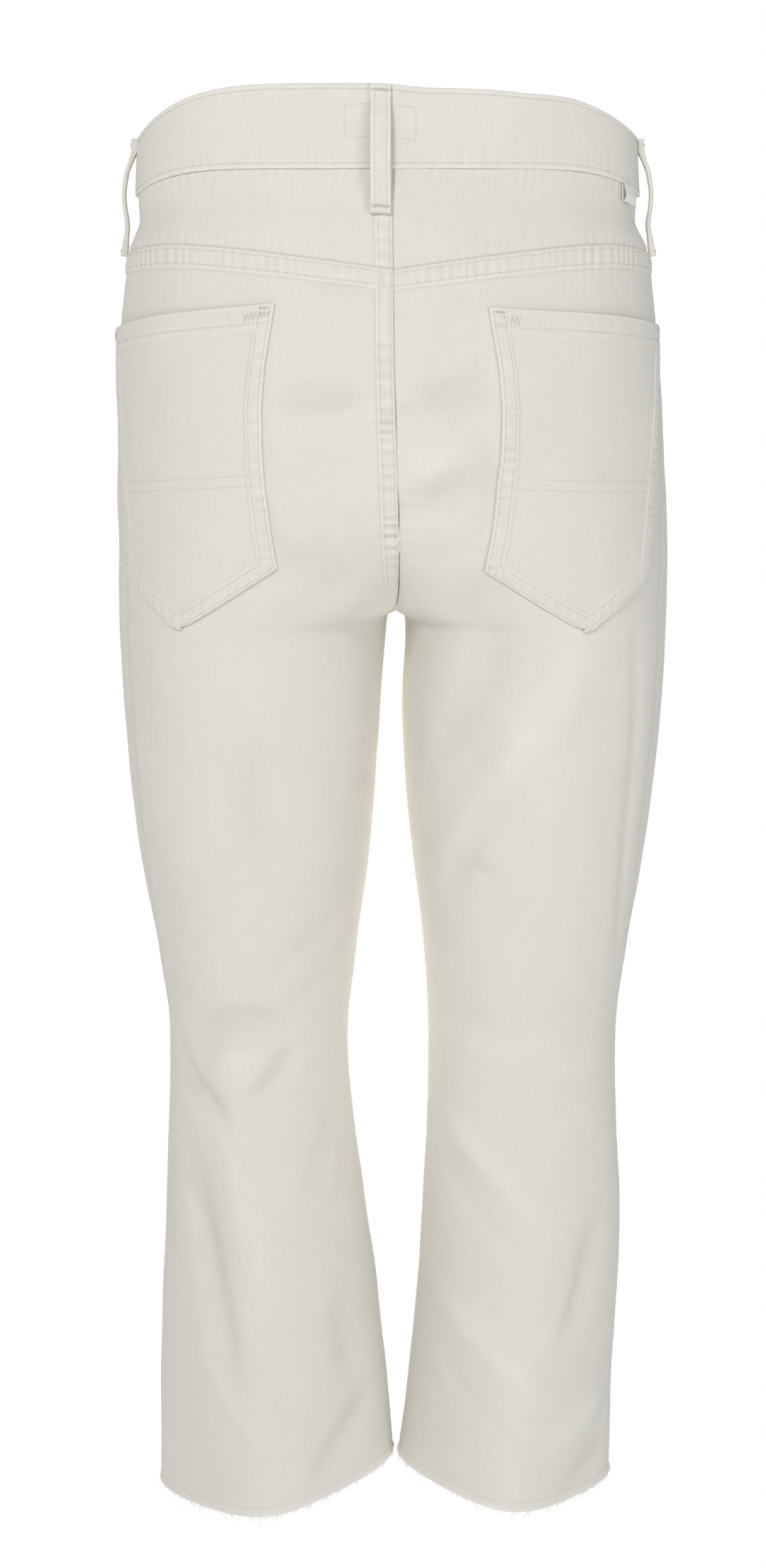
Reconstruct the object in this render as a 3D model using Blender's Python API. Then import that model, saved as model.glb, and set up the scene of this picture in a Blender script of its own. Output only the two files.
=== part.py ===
"""Cropped kick-flare jeans, filled out as if worn, with no wearer inside.

Frame: +Z up, the wearer faces -Y, the wearer's left is +X.  The origin is the middle of the
waist, level with the waistband at the sides.  Sizes are in millimetres until the mesh is made.

Each half of the garment is one rounded oval section carried down from waist to hem.  Below
the crotch an oval is a leg.  Above it the two ovals run into each other and both stop at the
mid plane, which gives the seat, its shallow middle groove and the U of the crotch seam.
A place on that form is a level (its height at the side) and an angle: 0 at the inseam,
90 degrees at the middle of the back, 180 at the side and 270 at the middle of the front.
"""

import bpy
import numpy as np

MM = 0.001

# ---------------------------------------------------------------- driving sizes (mm)
WALL = 1.3                 # one layer of denim
SEAM_GAP = 0.3             # between two pieces at a seam
LAY_GAP = 0.3              # between a piece and what lies on it
BACK_LIFT_POWER = 7.0      # how late a row that rises at the back drops towards the side

WAIST_LEVEL = -12.0        # waistband seam at the side
FLAT_LEVEL = -150.0        # below this the rows are level front to back
CROTCH_LEVEL = -268.0
HEM_LEVELS = {1.0: -873.0, -1.0: -866.0}   # the wearer's left hem hangs lower
SLANT_SHIFT = 0.25         # and slants more, by this share, than the right one less

# One row for each section.  inner and outer are the oval's ends from the mid plane (inner is
# negative where the two ovals run into each other), back and front its reach in Y, lift_* how
# far the row rises or drops at the back and front, shift_* how far both legs' inner and outer
# ends lie towards the wearer's left, seam how far behind the side the side seam runs
# (degrees), slant how much lower the row is at its outer end than at its inner one, and
# square how far an oval's corners fill out (the hem's are drawn in to a lens).
SECTION_COLUMNS = ("level", "inner", "outer", "back", "front", "lift_back", "lift_front",
                   "shift_inner", "shift_outer", "seam", "slant", "square")
SECTIONS = (
    (WAIST_LEVEL, -155.0, 155.0, 82.0, -76.0, 17.0, -29.0, 0.5, 3.4, 6.0, 0.0, 0.05),
    (-26.0, -154.0, 154.0, 87.5, -79.0, 14.7, -26.0, 0.5, 3.4, 5.0, 0.0, 0.05),
    (-44.0, -161.0, 161.0, 95.0, -82.5, 12.0, -21.5, 0.5, 3.0, 5.0, 0.0, 0.05),
    (-65.0, -164.0, 164.0, 101.0, -86.0, 9.5, -16.0, 0.2, 3.0, 5.0, 0.0, 0.05),
    (-95.0, -167.5, 167.5, 108.0, -90.0, 5.5, -9.0, 0.0, 3.0, 6.0, 0.0, 0.05),
    (FLAT_LEVEL, -158.0, 171.5, 115.0, -95.0, 0.0, 0.0, -1.5, 1.5, 13.0, 0.0, 0.05),
    (-200.0, -88.0, 173.5, 114.0, -97.0, 0.0, 0.0, -3.0, 0.5, 20.0, 0.0, 0.05),
    (-240.0, -34.0, 174.0, 106.0, -94.0, 0.0, 0.0, -3.5, 0.0, 25.0, 0.0, 0.05),
    (CROTCH_LEVEL, 0.0, 174.4, 97.0, -89.5, 0.0, 0.0, -2.0, 0.0, 27.0, 0.0, 0.04),
    (-276.0, 4.8, 174.4, 94.8, -88.7, 0.0, 0.0, -2.0, 0.0, 27.0, 0.0, 0.04),
    (-290.0, 6.5, 174.3, 92.3, -87.8, 0.0, 0.0, -1.5, 0.0, 27.0, 0.0, 0.03),
    (-321.0, 7.0, 173.4, 88.0, -86.0, 0.0, 0.0, 0.5, 0.0, 28.0, 0.0, 0.02),
    (-378.0, 9.7, 169.6, 82.0, -84.0, 0.0, 0.0, 1.5, 0.5, 27.0, 0.0, 0.00),
    (-435.0, 14.9, 163.0, 74.0, -80.0, 0.0, 0.0, 1.0, 0.3, 23.0, 0.0, 0.00),
    (-493.0, 22.2, 153.6, 64.0, -73.0, 0.0, 0.0, 1.8, 0.3, 15.0, 0.0, 0.00),
    (-551.0, 27.0, 147.5, 57.0, -66.0, 0.0, 0.0, 2.8, -0.3, 8.0, 0.0, 0.00),
    (-611.0, 24.6, 149.6, 60.0, -63.5, 0.0, 0.0, 1.5, -0.2, 3.0, -2.0, -0.03),
    (-671.0, 19.8, 152.3, 64.0, -65.0, 0.0, 0.0, -0.5, -0.3, 0.0, -5.0, -0.07),
    (-733.0, 14.7, 154.0, 68.0, -67.0, 0.0, 0.0, -3.0, 1.5, 0.0, -9.0, -0.12),
    (-796.0, 8.6, 153.8, 71.5, -70.0, 0.0, 0.0, -3.4, 4.0, 0.0, -13.0, -0.18),
    (HEM_LEVELS[1.0], 1.6, 154.4, 74.0, -73.0, -2.0, -2.0, -2.0, 5.4, 0.0, -16.0, -0.25),
)

# The largest folds, each a straight trough (height below 0) or ridge with soft ends.  across is
# mm round the form from the middle of that half's back, and past its side for the front.
FOLD_COLUMNS = ("side", "level", "across", "to_level", "to_across", "half_width", "height")
FOLDS = (
    (1, -127, 62, -125, 20, 10, -2.5),      # seat, under the left pocket's inner corner
    (1, -219, 5, -249, -42, 11, -2.0),      # below the left seat
    (1, -350, 2, -420, -6, 15, -2.0),       # left thigh
    (1, -537, 46, -531, -16, 10, -3.0),     # left knee, arc above the bulge
    (1, -554, 25, -571, -4, 16, 3.5),       # left knee, bulge
    (1, -571, 62, -594, 20, 9, -2.5),       # left knee, the V's outer line
    (1, -547, -27, -582, 8, 9, -2.0),       # left knee, the V's inner line
    (1, -601, 18, -712, 1, 12, 3.0),        # left calf, ridge below the V
    (1, -628, 48, -778, 27, 11, -3.5),      # left calf, long trough
    (1, -729, -56, -798, -68, 12, -2.0),    # left calf, near the inseam
    (1, -857, -39, -815, -82, 11, -3.0),    # left hem
    (-1, -128, 16, -121, 56, 9, -2.5),      # seat, under the right pocket's inner corner
    (-1, -172, -6, -151, 38, 11, 2.5),      # right seat, ridge
    (-1, -191, -18, -169, 44, 9, -2.5),     # right seat, trough below it
    (-1, -261, -50, -236, -3, 11, -2.0),    # below the right seat
    (-1, -287, 28, -428, -66, 15, 3.0),     # right thigh, long ridge
    (-1, -281, -24, -352, -66, 12, -3.0),   # right thigh, trough inside it
    (-1, -367, -22, -444, -57, 12, -2.5),   # right thigh, lower trough
    (-1, -600, -58, -664, 15, 11, 2.5),     # right calf, diagonal
    (-1, -672, 55, -745, 36, 11, -2.5),     # right calf, outer trough
    (-1, -727, -65, -792, 25, 13, 2.5),     # right calf, lower diagonal
    (-1, -827, 32, -799, 75, 11, 2.5),      # right hem, ridge
    (-1, -859, 48, -834, 86, 9, -2.0),      # right hem, trough
    (1, -236, 405, -208, 318, 11, -2.5),    # front, from the crotch to the hip
    (1, -262, 352, -246, 262, 12, 2.0),
    (-1, -240, 400, -214, 310, 11, -2.5),
    (-1, -268, 345, -254, 255, 12, 2.0),
    (1, -548, 222, -562, 158, 11, -2.5),    # front, across the knees
    (1, -604, 214, -590, 160, 12, 2.0),
    (-1, -556, 225, -544, 160, 11, -2.5),
    (-1, -588, 215, -606, 155, 12, 2.0),
)

# Waistband: its upper edge is a ring of its own, highest at the sine "peak" and falling with
# "power" towards each side, and its ends lap at the front.
BAND_TOP = {"outer": 153.0, "back": 76.0, "front": -70.0, "level": 23.5,
            "lift_back": 30.5, "lift_front": -19.0, "peak": 0.18, "power": {1.0: 4.2, -1.0: 4.4}}
BAND_ROWS = 3
BAND_WALL = 2.6
BAND_PROUD = 0.8           # its face stands this far outside the panels
BAND_OVER = 14.0           # the left end laps this far past the middle of the front
BAND_UNDER = 30.0          # the right end runs this far back under it
BAND_STEP = 18.0           # length over which the under end steps inwards

# Yoke seam: its level at the side and how far it drops to the middle of the back.
YOKE_SIDE_LEVEL = -46.0
YOKE_DROP = 16.5
YOKE_CURVE = 1.6

# Felled seams: the folded second layer that stands up beside the seam.
FELL_WIDTH = 10.5
FELL_EDGE = 1.2
FELL_RISE = 0.8

# Front scoop pockets: width as a share of the front panel, depth down the side seam, and
# the facing behind, which runs on past both.
SCOOP_WIDTH = 0.58
SCOOP_DEPTH = 78.0
FACING_DEPTH = 96.0
FACING_GAP = 0.9
FACING_START = 0.015       # share of the front's width that it starts in from the side seam

# Back pockets: one flat cut for both.  Each row is a depth below the mouth and where the two
# edges lie, from the top inner corner; below the last row the foot runs to a point.
POCKET_COLUMNS = ("down", "inner", "outer")
POCKET_CUT = (
    (0.0, 3.0, 146.0),
    (32.0, 9.5, 142.0),
    (52.0, 11.5, 138.6),
    (84.0, 11.2, 132.5),
    (104.0, 9.7, 129.0),
    (123.0, 8.0, 125.3),
    (148.0, 4.5, 120.0),
)
POCKET_POINT = 0.55        # share of the width where the foot is lowest
POCKET_FOOT = 35.0         # how far the point hangs below the bottom corners
POCKET_HEM = 15.0
POCKET_RISE = 0.7          # the folded mouth stands up this much more
POCKET_GAPE = 1.6          # and leans out this far in the middle
POCKET_LIE = 0.9           # clear of the panel's facets under it
POCKET_LINE = 118.0        # its place is measured from the line this far from the middle
POCKET_ROWS = 8
POCKET_ACROSS = 12
# Where each pocket's top inner corner lies: past the line, level, and drop to the outer end.
POCKET_PLACES = {"left": (-55.0, -80.0, 12.0), "right": (-70.0, -82.0, 8.0)}

# Belt loops: folded strips held at both ends.  Rows of share down, stand-off and thickness.
LOOP_COLUMNS = ("share", "off", "thick")
LOOP_SHAPE = (
    (0.00, 1.1, 3.4),
    (0.11, 1.1, 3.4),
    (0.17, 3.2, 2.2),
    (0.28, 6.2, 1.9),
    (0.42, 7.5, 1.8),
    (0.58, 7.7, 1.8),
    (0.74, 6.6, 1.9),
    (0.85, 3.4, 2.2),
    (0.92, 1.1, 3.2),
    (1.00, 1.1, 3.2),
)
LOOP_WIDTH = 12.0
LOOP_LENGTH = 71.0
LOOP_CROWN = 0.4
# Each loop's direction from the middle of the back, in degrees towards the wearer's left.
LOOP_PLACES = {"back": 2.0, "side_left": 89.0, "side_right": -89.0,
               "front_left": 146.0, "front_right": -146.0}

# Fly: zip tape with its closed chain and slider, and the shield behind it.
FLY_BEND = 1.2             # how far a strip behind the fly curves back at its edges
ZIP_HALF_WIDTH = 13.0
ZIP_LEVELS = (-14.0, -165.0)
ZIP_TAPE = 1.0
ZIP_CHAIN = (2.6, 2.0)     # half width and thickness
ZIP_SLIDER = (4.2, 3.2, 11.0)   # half width, thickness and length
SHIELD_HALF_WIDTH = 21.0
SHIELD_LEVELS = (-14.0, -184.0)
SHIELD_WALL = 2.0
FLY_GAP = 0.5

# Waist button and the plain tab caught in the waistband seam at the right side.
BUTTON_PROFILE = ((0.0, 0.0), (5.0, 0.0), (5.0, 1.2), (8.5, 1.6), (8.5, 2.6), (7.6, 3.4),
                  (6.2, 3.3), (5.4, 2.9), (0.0, 2.9))
BUTTON_SIDES = 24
TAB_PLACE = -68.0
TAB_WIDTH = 11.0
TAB_PROFILE = ((0.0, 0.3), (7.6, 0.3), (8.6, 0.9), (9.0, 1.6), (8.6, 2.3), (7.6, 2.9),
               (0.0, 2.9), (0.0, 2.1), (7.3, 2.1), (7.9, 1.6), (7.3, 1.1), (0.0, 1.1))

# Grid counts
YOKE_ROWS = 4
BACK_ROWS = 5
FRONT_ROWS = 6
CROTCH_ROWS = 8
SADDLE_ROWS = (2.5, 6.5, 12.0, 20.0)
LEG_ROWS = 28
BACK_COLUMNS = 14
FRONT_COLUMNS = 13
SCOOP_COLUMNS = 8
UNDER_COLUMNS = 6

SIDES = (("left", 1.0), ("right", -1.0))


# ---------------------------------------------------------------- the form
def column(name, level):
    """One table column at a level: a cubic from row to row.

    Its slope at a row is the harmonic mean of the slopes on both sides, and none at a turn.
    """
    table = np.array(SECTIONS)[::-1]
    x = table[:, 0]
    y = table[:, SECTION_COLUMNS.index(name)]
    step = np.diff(x)
    rise = np.diff(y) / step
    product = rise[1:] * rise[:-1]
    total = np.where(product > 0.0, rise[1:] + rise[:-1], 1.0)
    bend = np.where(product > 0.0, 2.0 * product / total, 0.0)
    slope = np.concatenate(([rise[0]], bend, [rise[-1]]))
    level = np.asarray(level, float)
    i = np.clip(np.searchsorted(x, level) - 1, 0, len(step) - 1)
    t = (level - x[i]) / step[i]
    return (y[i] * (1 + 2 * t) * (1 - t) ** 2 + slope[i] * step[i] * t * (1 - t) ** 2
            + y[i + 1] * t * t * (3 - 2 * t) + slope[i + 1] * step[i] * t * t * (t - 1))


def oval(side, level):
    """Middle and half width of one side's oval, and the mid plane, measured outwards."""
    shift_inner = side * column("shift_inner", level)
    inner = column("inner", level) + shift_inner
    outer = column("outer", level) + side * column("shift_outer", level)
    return (inner + outer) / 2, (outer - inner) / 2, shift_inner


def form(side, level, angle):
    """Point of the cloth's outer face.

    Across: middle - half * cos(a) * (1 + q sin(a)^2); depth: reach * sin(a) * (1 + q cos(a)^2).
    A row rises at the back as 1 - |cos(a)|^p and at the front as sin(a)^2.
    """
    middle, half, _ = oval(side, level)
    c, s = np.cos(angle), np.sin(angle)
    reach = np.where(s > 0.0, column("back", level), -column("front", level))
    lift = np.where(s > 0.0, column("lift_back", level) * (1 - np.abs(c) ** BACK_LIFT_POWER),
                    column("lift_front", level) * s ** 2)
    square = column("square", level)
    x = middle - half * c * (1 + square * s ** 2)
    y = reach * s * (1 + square * c ** 2)
    z = level + lift - column("slant", level) * (1 + SLANT_SHIFT * side) * (1 + c) / 2
    return np.stack([side * x, y, z + 0.0 * x], -1)


def outward(side, level, angle):
    """Unit normal of the form: down-row and round-row differences, crossed."""
    d_level, d_angle = 0.25, 0.002
    down = form(side, level + d_level, angle) - form(side, level - d_level, angle)
    around = form(side, level, angle + d_angle) - form(side, level, angle - d_angle)
    normal = np.expand_dims(side, -1) * np.cross(down, around)
    return normal / np.linalg.norm(normal, axis=-1, keepdims=True)


def inner_angle(side, level):
    """Angle of the inner edge: at the mid plane above the crotch, at the inseam below it."""
    middle, half, plane = oval(side, level)
    wanted = np.minimum((middle - plane - SEAM_GAP / 2) / half, 1.0)
    c = wanted
    for _ in range(8):
        c = wanted / (1 + column("square", level) * (1 - c * c))
    return np.maximum(np.arccos(c), SEAM_GAP / 2 / column("back", level))


def side_angle(level):
    return np.radians(180.0 - column("seam", level))


def side_trim(level):
    """Half a seam gap as an angle at the side seam."""
    return SEAM_GAP / 2 / column("back", level)


def fold_height(side, level, angle):
    """Sum of the side's folds: height * exp(-(over / half_width)^2 - (2 along / length - 1)^4)."""
    across = (angle - np.pi / 2) * oval(side, level)[1]
    height = 0.0 * (level + angle)
    for of_side, level_0, across_0, level_1, across_1, half_width, most in FOLDS:
        run = np.array((level_1 - level_0, across_1 - across_0), float)
        length = np.hypot(*run)
        run /= length
        along = (level - level_0) * run[0] + (across - across_0) * run[1]
        over = (across - across_0) * run[0] - (level - level_0) * run[1]
        height += np.where(side * of_side > 0, most, 0.0) * np.exp(
            -(over / half_width) ** 2 - (2 * along / length - 1) ** 4)
    return height


def cloth(side, level, angle, out):
    """Point on the folded cloth moved out along the form's normal."""
    out = out + fold_height(side, level, angle)
    return form(side, level, angle) + outward(side, level, angle) * np.expand_dims(out, -1)


# ---------------------------------------------------------------- meshes
def material(name, colour, roughness, metallic):
    mat = bpy.data.materials.new(name)
    mat.use_nodes = True
    shader = mat.node_tree.nodes["Principled BSDF"]
    shader.inputs["Base Color"].default_value = (*colour, 1.0)
    shader.inputs["Roughness"].default_value = roughness
    shader.inputs["Metallic"].default_value = metallic
    return mat


def add_mesh(name, points, faces, mat):
    """One closed mesh in metres, with its faces pointing out."""
    mesh = bpy.data.meshes.new(name)
    mesh.from_pydata([tuple(p) for p in np.asarray(points) * MM], [], faces)
    mesh.update()
    mesh.materials.append(mat)
    piece = bpy.data.objects.new(name, mesh)
    bpy.context.scene.collection.objects.link(piece)
    mesh.shade_smooth()
    mesh.set_sharp_from_angle(angle=np.radians(35.0))
    return piece


def slab(name, outer, inner, mat, turn=1.0):
    """Closed wall between two grids of points of the same shape.

    turn is 1 where rows x columns seen from outside run down and to the right.
    """
    rows, columns = outer.shape[:2]
    count = rows * columns
    index = np.arange(count).reshape(rows, columns)
    a, b = index[:-1, :-1].ravel(), index[:-1, 1:].ravel()
    c, d = index[1:, 1:].ravel(), index[1:, :-1].ravel()
    edge = np.concatenate((index[0, :], index[1:, -1], index[-1, -2::-1], index[-2:0:-1, 0]))
    after = np.roll(edge, -1)
    front = np.stack((a, d, c, b), 1)
    back = np.stack((a, b, c, d), 1) + count
    rim = np.stack((edge, after, after + count, edge + count), 1)
    faces = np.concatenate((front, back, rim))
    if turn < 0:
        faces = faces[:, ::-1]
    points = np.concatenate((outer.reshape(-1, 3), inner.reshape(-1, 3)))
    return add_mesh(name, points, faces.tolist(), mat)


# ---------------------------------------------------------------- levels and columns
def crotch_and_leg_levels(side):
    """Levels from FLAT_LEVEL to the hem, closer together as they near the crotch."""
    drop = FLAT_LEVEL - CROTCH_LEVEL
    torso = CROTCH_LEVEL + drop * (1 - np.arange(1, CROTCH_ROWS + 1) / CROTCH_ROWS) ** 2
    saddle = CROTCH_LEVEL - np.array(SADDLE_ROWS)
    legs = np.linspace(saddle[-1], HEM_LEVELS[side], LEG_ROWS + 1)[1:]
    return np.concatenate((torso, saddle, legs))


def yoke_level(share):
    """Level of the yoke seam: share is 0 at the middle of the back and 1 at the side."""
    return YOKE_SIDE_LEVEL - YOKE_DROP * (1 - share) ** YOKE_CURVE


def fade_down(level, top):
    """1 at the top row, falling evenly to 0 at FLAT_LEVEL."""
    return np.clip((level - FLAT_LEVEL) / (top - FLAT_LEVEL), 0.0, 1.0)


def back_shares(side, level):
    """Shares across the back panel at each level, 0 at the inner edge and 1 at the side.

    The felled band's two edges come first, at their true distance from the seam.
    """
    level = level[:, None]
    start = inner_angle(side, level)
    _, half, _ = oval(side, level)
    speed = np.hypot(half * np.sin(start), column("back", level) * np.cos(start))
    width = (side_angle(level) - start) * speed
    first = np.array([0.0, FELL_EDGE, FELL_WIDTH, FELL_WIDTH + FELL_EDGE]) / width
    rest = np.linspace(0.0, 1.0, BACK_COLUMNS - 3)[1:]
    return np.concatenate((first, first[:, 3:] + (1 - first[:, 3:]) * rest), 1)


def back_angle(side, level, share):
    """Angle at a share of the way from the inner edge round to the side seam."""
    start = inner_angle(side, level)
    return start + (side_angle(level) - side_trim(level) - start) * share


# ---------------------------------------------------------------- pieces
def make_yoke(name, side, denim):
    top = WAIST_LEVEL - SEAM_GAP / 2
    share = back_shares(side, yoke_level(np.zeros(1)))
    low = yoke_level(share) + SEAM_GAP / 2
    level = top + (low - top) * np.linspace(0.0, 1.0, YOKE_ROWS)[:, None]
    angle = back_angle(side, level, share)
    slab(f"yoke_{name}", cloth(side, level, angle, 0.0), cloth(side, level, angle, -WALL),
         denim, -side)


def make_back(name, side, denim):
    """Back leg: yoke seam to hem, middle seam and inseam to side seam."""
    top = yoke_level(0.0) - SEAM_GAP / 2
    torso = np.linspace(top - FELL_WIDTH - FELL_EDGE, FLAT_LEVEL, BACK_ROWS)
    row = np.concatenate(([top, top - FELL_WIDTH], torso, crotch_and_leg_levels(side)))
    share = back_shares(side, row)
    share[:2] = back_shares(side, yoke_level(np.zeros(1)))
    level = row[:, None] + (yoke_level(share) - yoke_level(0.0)) * fade_down(row, top)[:, None]
    angle = back_angle(side, level, share)
    rise = np.zeros(level.shape)
    rise[:2, 1:] = FELL_RISE
    if side > 0:
        rise[row > CROTCH_LEVEL + FELL_WIDTH, 1:3] = FELL_RISE
    slab(f"back_{name}", cloth(side, level, angle, rise), cloth(side, level, angle, -WALL),
         denim, -side)


def front_tops():
    """Shares across the front panel from side seam to middle, and the top level at each.

    The scoop is a quarter ellipse: share W cos(p), depth D sin(p).
    """
    turn = np.linspace(np.pi / 2, 0.0, SCOOP_COLUMNS)
    share = np.concatenate((SCOOP_WIDTH * np.cos(turn),
                            np.linspace(SCOOP_WIDTH, 1.0, FRONT_COLUMNS - SCOOP_COLUMNS + 1)[1:]))
    drop = np.concatenate((SCOOP_DEPTH * np.sin(turn),
                           np.zeros(FRONT_COLUMNS - SCOOP_COLUMNS)))
    return share, WAIST_LEVEL - SEAM_GAP / 2 - drop


def front_angle(side, level, share):
    """Angle at a share of the way from the side seam round to the inner edge."""
    start = side_angle(level) + side_trim(level)
    return start + (2 * np.pi - inner_angle(side, level) - start) * share


def make_front(name, side, denim):
    """Front leg: waist and scoop to hem, side seam to middle seam and inseam."""
    share, top = front_tops()
    row = np.concatenate((np.linspace(top[-1], FLAT_LEVEL, FRONT_ROWS), crotch_and_leg_levels(side)))
    level = row[:, None] + (top - top[-1]) * fade_down(row, top[-1])[:, None]
    angle = front_angle(side, level, share)
    slab(f"front_{name}", cloth(side, level, angle, 0.0), cloth(side, level, angle, -WALL),
         denim, -side)


def make_facing(name, side, denim):
    """Piece behind the scoop, one layer in, from the side seam to just past the mouth."""
    share = front_tops()[0][:SCOOP_COLUMNS + 1].clip(FACING_START)
    top = WAIST_LEVEL - SEAM_GAP / 2
    level = np.linspace(top, WAIST_LEVEL - FACING_DEPTH, FRONT_ROWS)[:, None] + 0.0 * share
    angle = front_angle(side, level, share)
    face = -WALL - FACING_GAP
    slab(f"pocket_facing_{name}", cloth(side, level, angle, face),
         cloth(side, level, angle, face - WALL), denim, -side)


# ---------------------------------------------------------------- waistband
def ring(turn, height):
    """Point on the waistband's inner surface line.

    turn is radians from the middle of the back towards the wearer's left, height 0 at the
    seam and 1 at the upper edge.  Both edges are the oval of a row: half * sin, reach * cos.
    The back rises as 1 - |s'|^p, where s' is the sine counted from a peak that moves towards
    the wearer's left up the band, and still 1 at both sides.
    """
    side = np.where(np.sin(turn) >= 0.0, 1.0, -1.0)
    shift_inner, shift_outer = column("shift_inner", WAIST_LEVEL), column("shift_outer", WAIST_LEVEL)

    def size(key):
        low = WAIST_LEVEL + SEAM_GAP / 2 if key == "level" else column(key, WAIST_LEVEL)
        return low + (BAND_TOP[key] - low) * height

    s, c = np.sin(turn), np.cos(turn)
    half = size("outer") + side * (shift_outer - shift_inner) / 2
    reach = np.where(c > 0.0, size("back"), -size("front"))
    top_power = np.where(side > 0.0, BAND_TOP["power"][1.0], BAND_TOP["power"][-1.0])
    power = BACK_LIFT_POWER + (top_power - BACK_LIFT_POWER) * height
    peak = BAND_TOP["peak"] * height
    past = (s - peak) / (1 - peak * np.sign(s - peak))
    lift = np.where(c > 0.0, size("lift_back") * (1 - np.abs(past) ** power),
                    size("lift_front") * c ** 2)
    square = column("square", WAIST_LEVEL)
    x = (shift_inner + shift_outer) / 2 + half * s * (1 + square * c ** 2)
    y = reach * c * (1 + square * s ** 2)
    return np.stack(np.broadcast_arrays(x, y, size("level") + lift), -1)


def band(turn, height, out):
    """Point on the waistband moved out along its normal."""
    step = 0.002
    up = ring(turn, height + step) - ring(turn, height - step)
    around = ring(turn + step, height) - ring(turn - step, height)
    normal = np.cross(up, around)
    normal /= np.linalg.norm(normal, axis=-1, keepdims=True)
    return ring(turn, height) + normal * np.expand_dims(out, -1)


def ring_speed():
    """Millimetres a radian of turn covers at the middle of the front."""
    return np.linalg.norm(ring(np.pi + 0.01, 0.0) - ring(np.pi - 0.01, 0.0)) / 0.02


def panel_turns(side):
    """Turns of the yoke's and the front's columns, which the waistband shares."""
    back = back_angle(side, WAIST_LEVEL, back_shares(side, yoke_level(np.zeros(1)))[0])
    front = front_angle(side, WAIST_LEVEL, front_tops()[0])
    return np.concatenate((back[:-1], front)) - np.pi / 2


def make_waistband(denim):
    """One strip round the waist whose right end steps in under its left end."""
    speed = ring_speed()
    over, under = BAND_OVER / speed, BAND_UNDER / speed
    under_end = np.linspace(-np.pi - under, -np.pi + over / 2, UNDER_COLUMNS, endpoint=False)
    right = -panel_turns(-1.0)[::-1]
    turn = np.concatenate((under_end, right[right > -np.pi + over / 2], panel_turns(1.0),
                           [np.pi + over / 2, np.pi + over]))
    past = (-np.pi + over - turn) * speed + BAND_STEP
    t = np.clip(past / BAND_STEP, 0.0, 1.0)
    face = BAND_PROUD - (BAND_WALL + LAY_GAP + 0.2) * t * t * (3 - 2 * t)
    height = np.linspace(1.0, 0.0, BAND_ROWS)[:, None] + 0.0 * turn
    turn = turn + 0.0 * height
    slab("waistband", band(turn, height, face), band(turn, height, face - BAND_WALL), denim, -1)


def below_edge(turn, down, out):
    """Point that far down from the waistband's upper edge, over the band and the cloth."""
    tall = np.linalg.norm(ring(turn, 1.0) - ring(turn, 0.0), axis=-1)
    side = np.where(np.sin(turn) >= 0.0, 1.0, -1.0)
    angle = np.pi / 2 + np.abs(turn)
    level = np.minimum(WAIST_LEVEL - (down - tall), WAIST_LEVEL)
    height = np.clip(1 - down / tall, 0.0, 1.0)
    on_band = (down < tall)[..., None]
    return np.where(on_band, band(turn, height, out), cloth(side, level, angle, out))


def make_belt_loop(name, place, denim):
    """Folded strip from the band's upper edge to below its seam, bowed off the cloth."""
    shape = np.array(LOOP_SHAPE)
    middle = np.radians(place)
    speed = np.linalg.norm(ring(middle + 0.01, 0.5) - ring(middle - 0.01, 0.5)) / 0.02
    across = np.array([-0.5, 0.0, 0.5]) * LOOP_WIDTH / speed
    turn = middle + across + 0.0 * shape[:, :1]
    down = 1.0 + LOOP_LENGTH * shape[:, :1] + 0.0 * turn
    off = shape[:, 1:2] + 0.0 * turn
    thick = shape[:, 2:3] + LOOP_CROWN * np.array([0.0, 1.0, 0.0])
    slab(f"belt_loop_{name}", below_edge(turn, down, off + thick), below_edge(turn, down, off),
         denim, -1)


# ---------------------------------------------------------------- back pockets
def angle_past_line(side, level, past):
    """Angle of the point that far round the cloth from the pocket line, at one level."""
    angle = np.linspace(inner_angle(side, level), np.radians(200.0), 400)
    points = form(side, level, angle)
    run = np.concatenate(([0.0], np.cumsum(np.linalg.norm(np.diff(points, axis=0), axis=1))))
    behind = angle < np.pi
    line = np.interp(POCKET_LINE, (side * points[:, 0])[behind], run[behind])
    return np.interp(line + past, run, angle)


def pocket_grid(name, side):
    """Levels, angles and the flat depth of the pocket's grid, mouth row first.

    The foot is the last table row plus POCKET_FOOT times a tent with its top at POCKET_POINT.
    """
    cut = np.array(POCKET_CUT)
    start, mouth, drop = POCKET_PLACES[name]
    half = POCKET_ACROSS // 2
    share = np.concatenate((np.linspace(0.0, POCKET_POINT, half, endpoint=False),
                            np.linspace(POCKET_POINT, 1.0, half + 1)))
    tent = np.minimum(share / POCKET_POINT, (1 - share) / (1 - POCKET_POINT))
    foot = cut[-1, 0] + POCKET_FOOT * tent
    hem = POCKET_HEM / foot
    rows = np.linspace(0.0, 1.0, POCKET_ROWS)[:, None]
    part = np.concatenate((0.0 * hem[None], hem[None], hem + (1 - hem) * rows[1:]))
    down = part * foot
    inner = np.interp(down, cut[:, 0], cut[:, 1])
    outer = np.interp(down, cut[:, 0], cut[:, 2])
    past = start + inner + (outer - inner) * share
    level = mouth - drop * share - down
    angle = np.array([[angle_past_line(side, lv, ps) for lv, ps in zip(*pair)]
                      for pair in zip(level, past)])
    return level, angle, down, share


def make_back_pocket(name, side, denim):
    level, angle, down, share = pocket_grid(name, side)
    mouth = np.clip(1 - down / (3 * POCKET_HEM), 0.0, 1.0) ** 2
    gape = POCKET_GAPE * mouth * np.sin(np.pi * share ** 1.5)
    rise = np.where(down < POCKET_HEM + 0.01, POCKET_RISE, 0.0)
    base = POCKET_LIE + gape
    slab(f"back_pocket_{name}", cloth(side, level, angle, base + WALL + rise),
         cloth(side, level, angle, base), denim, -side)


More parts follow.
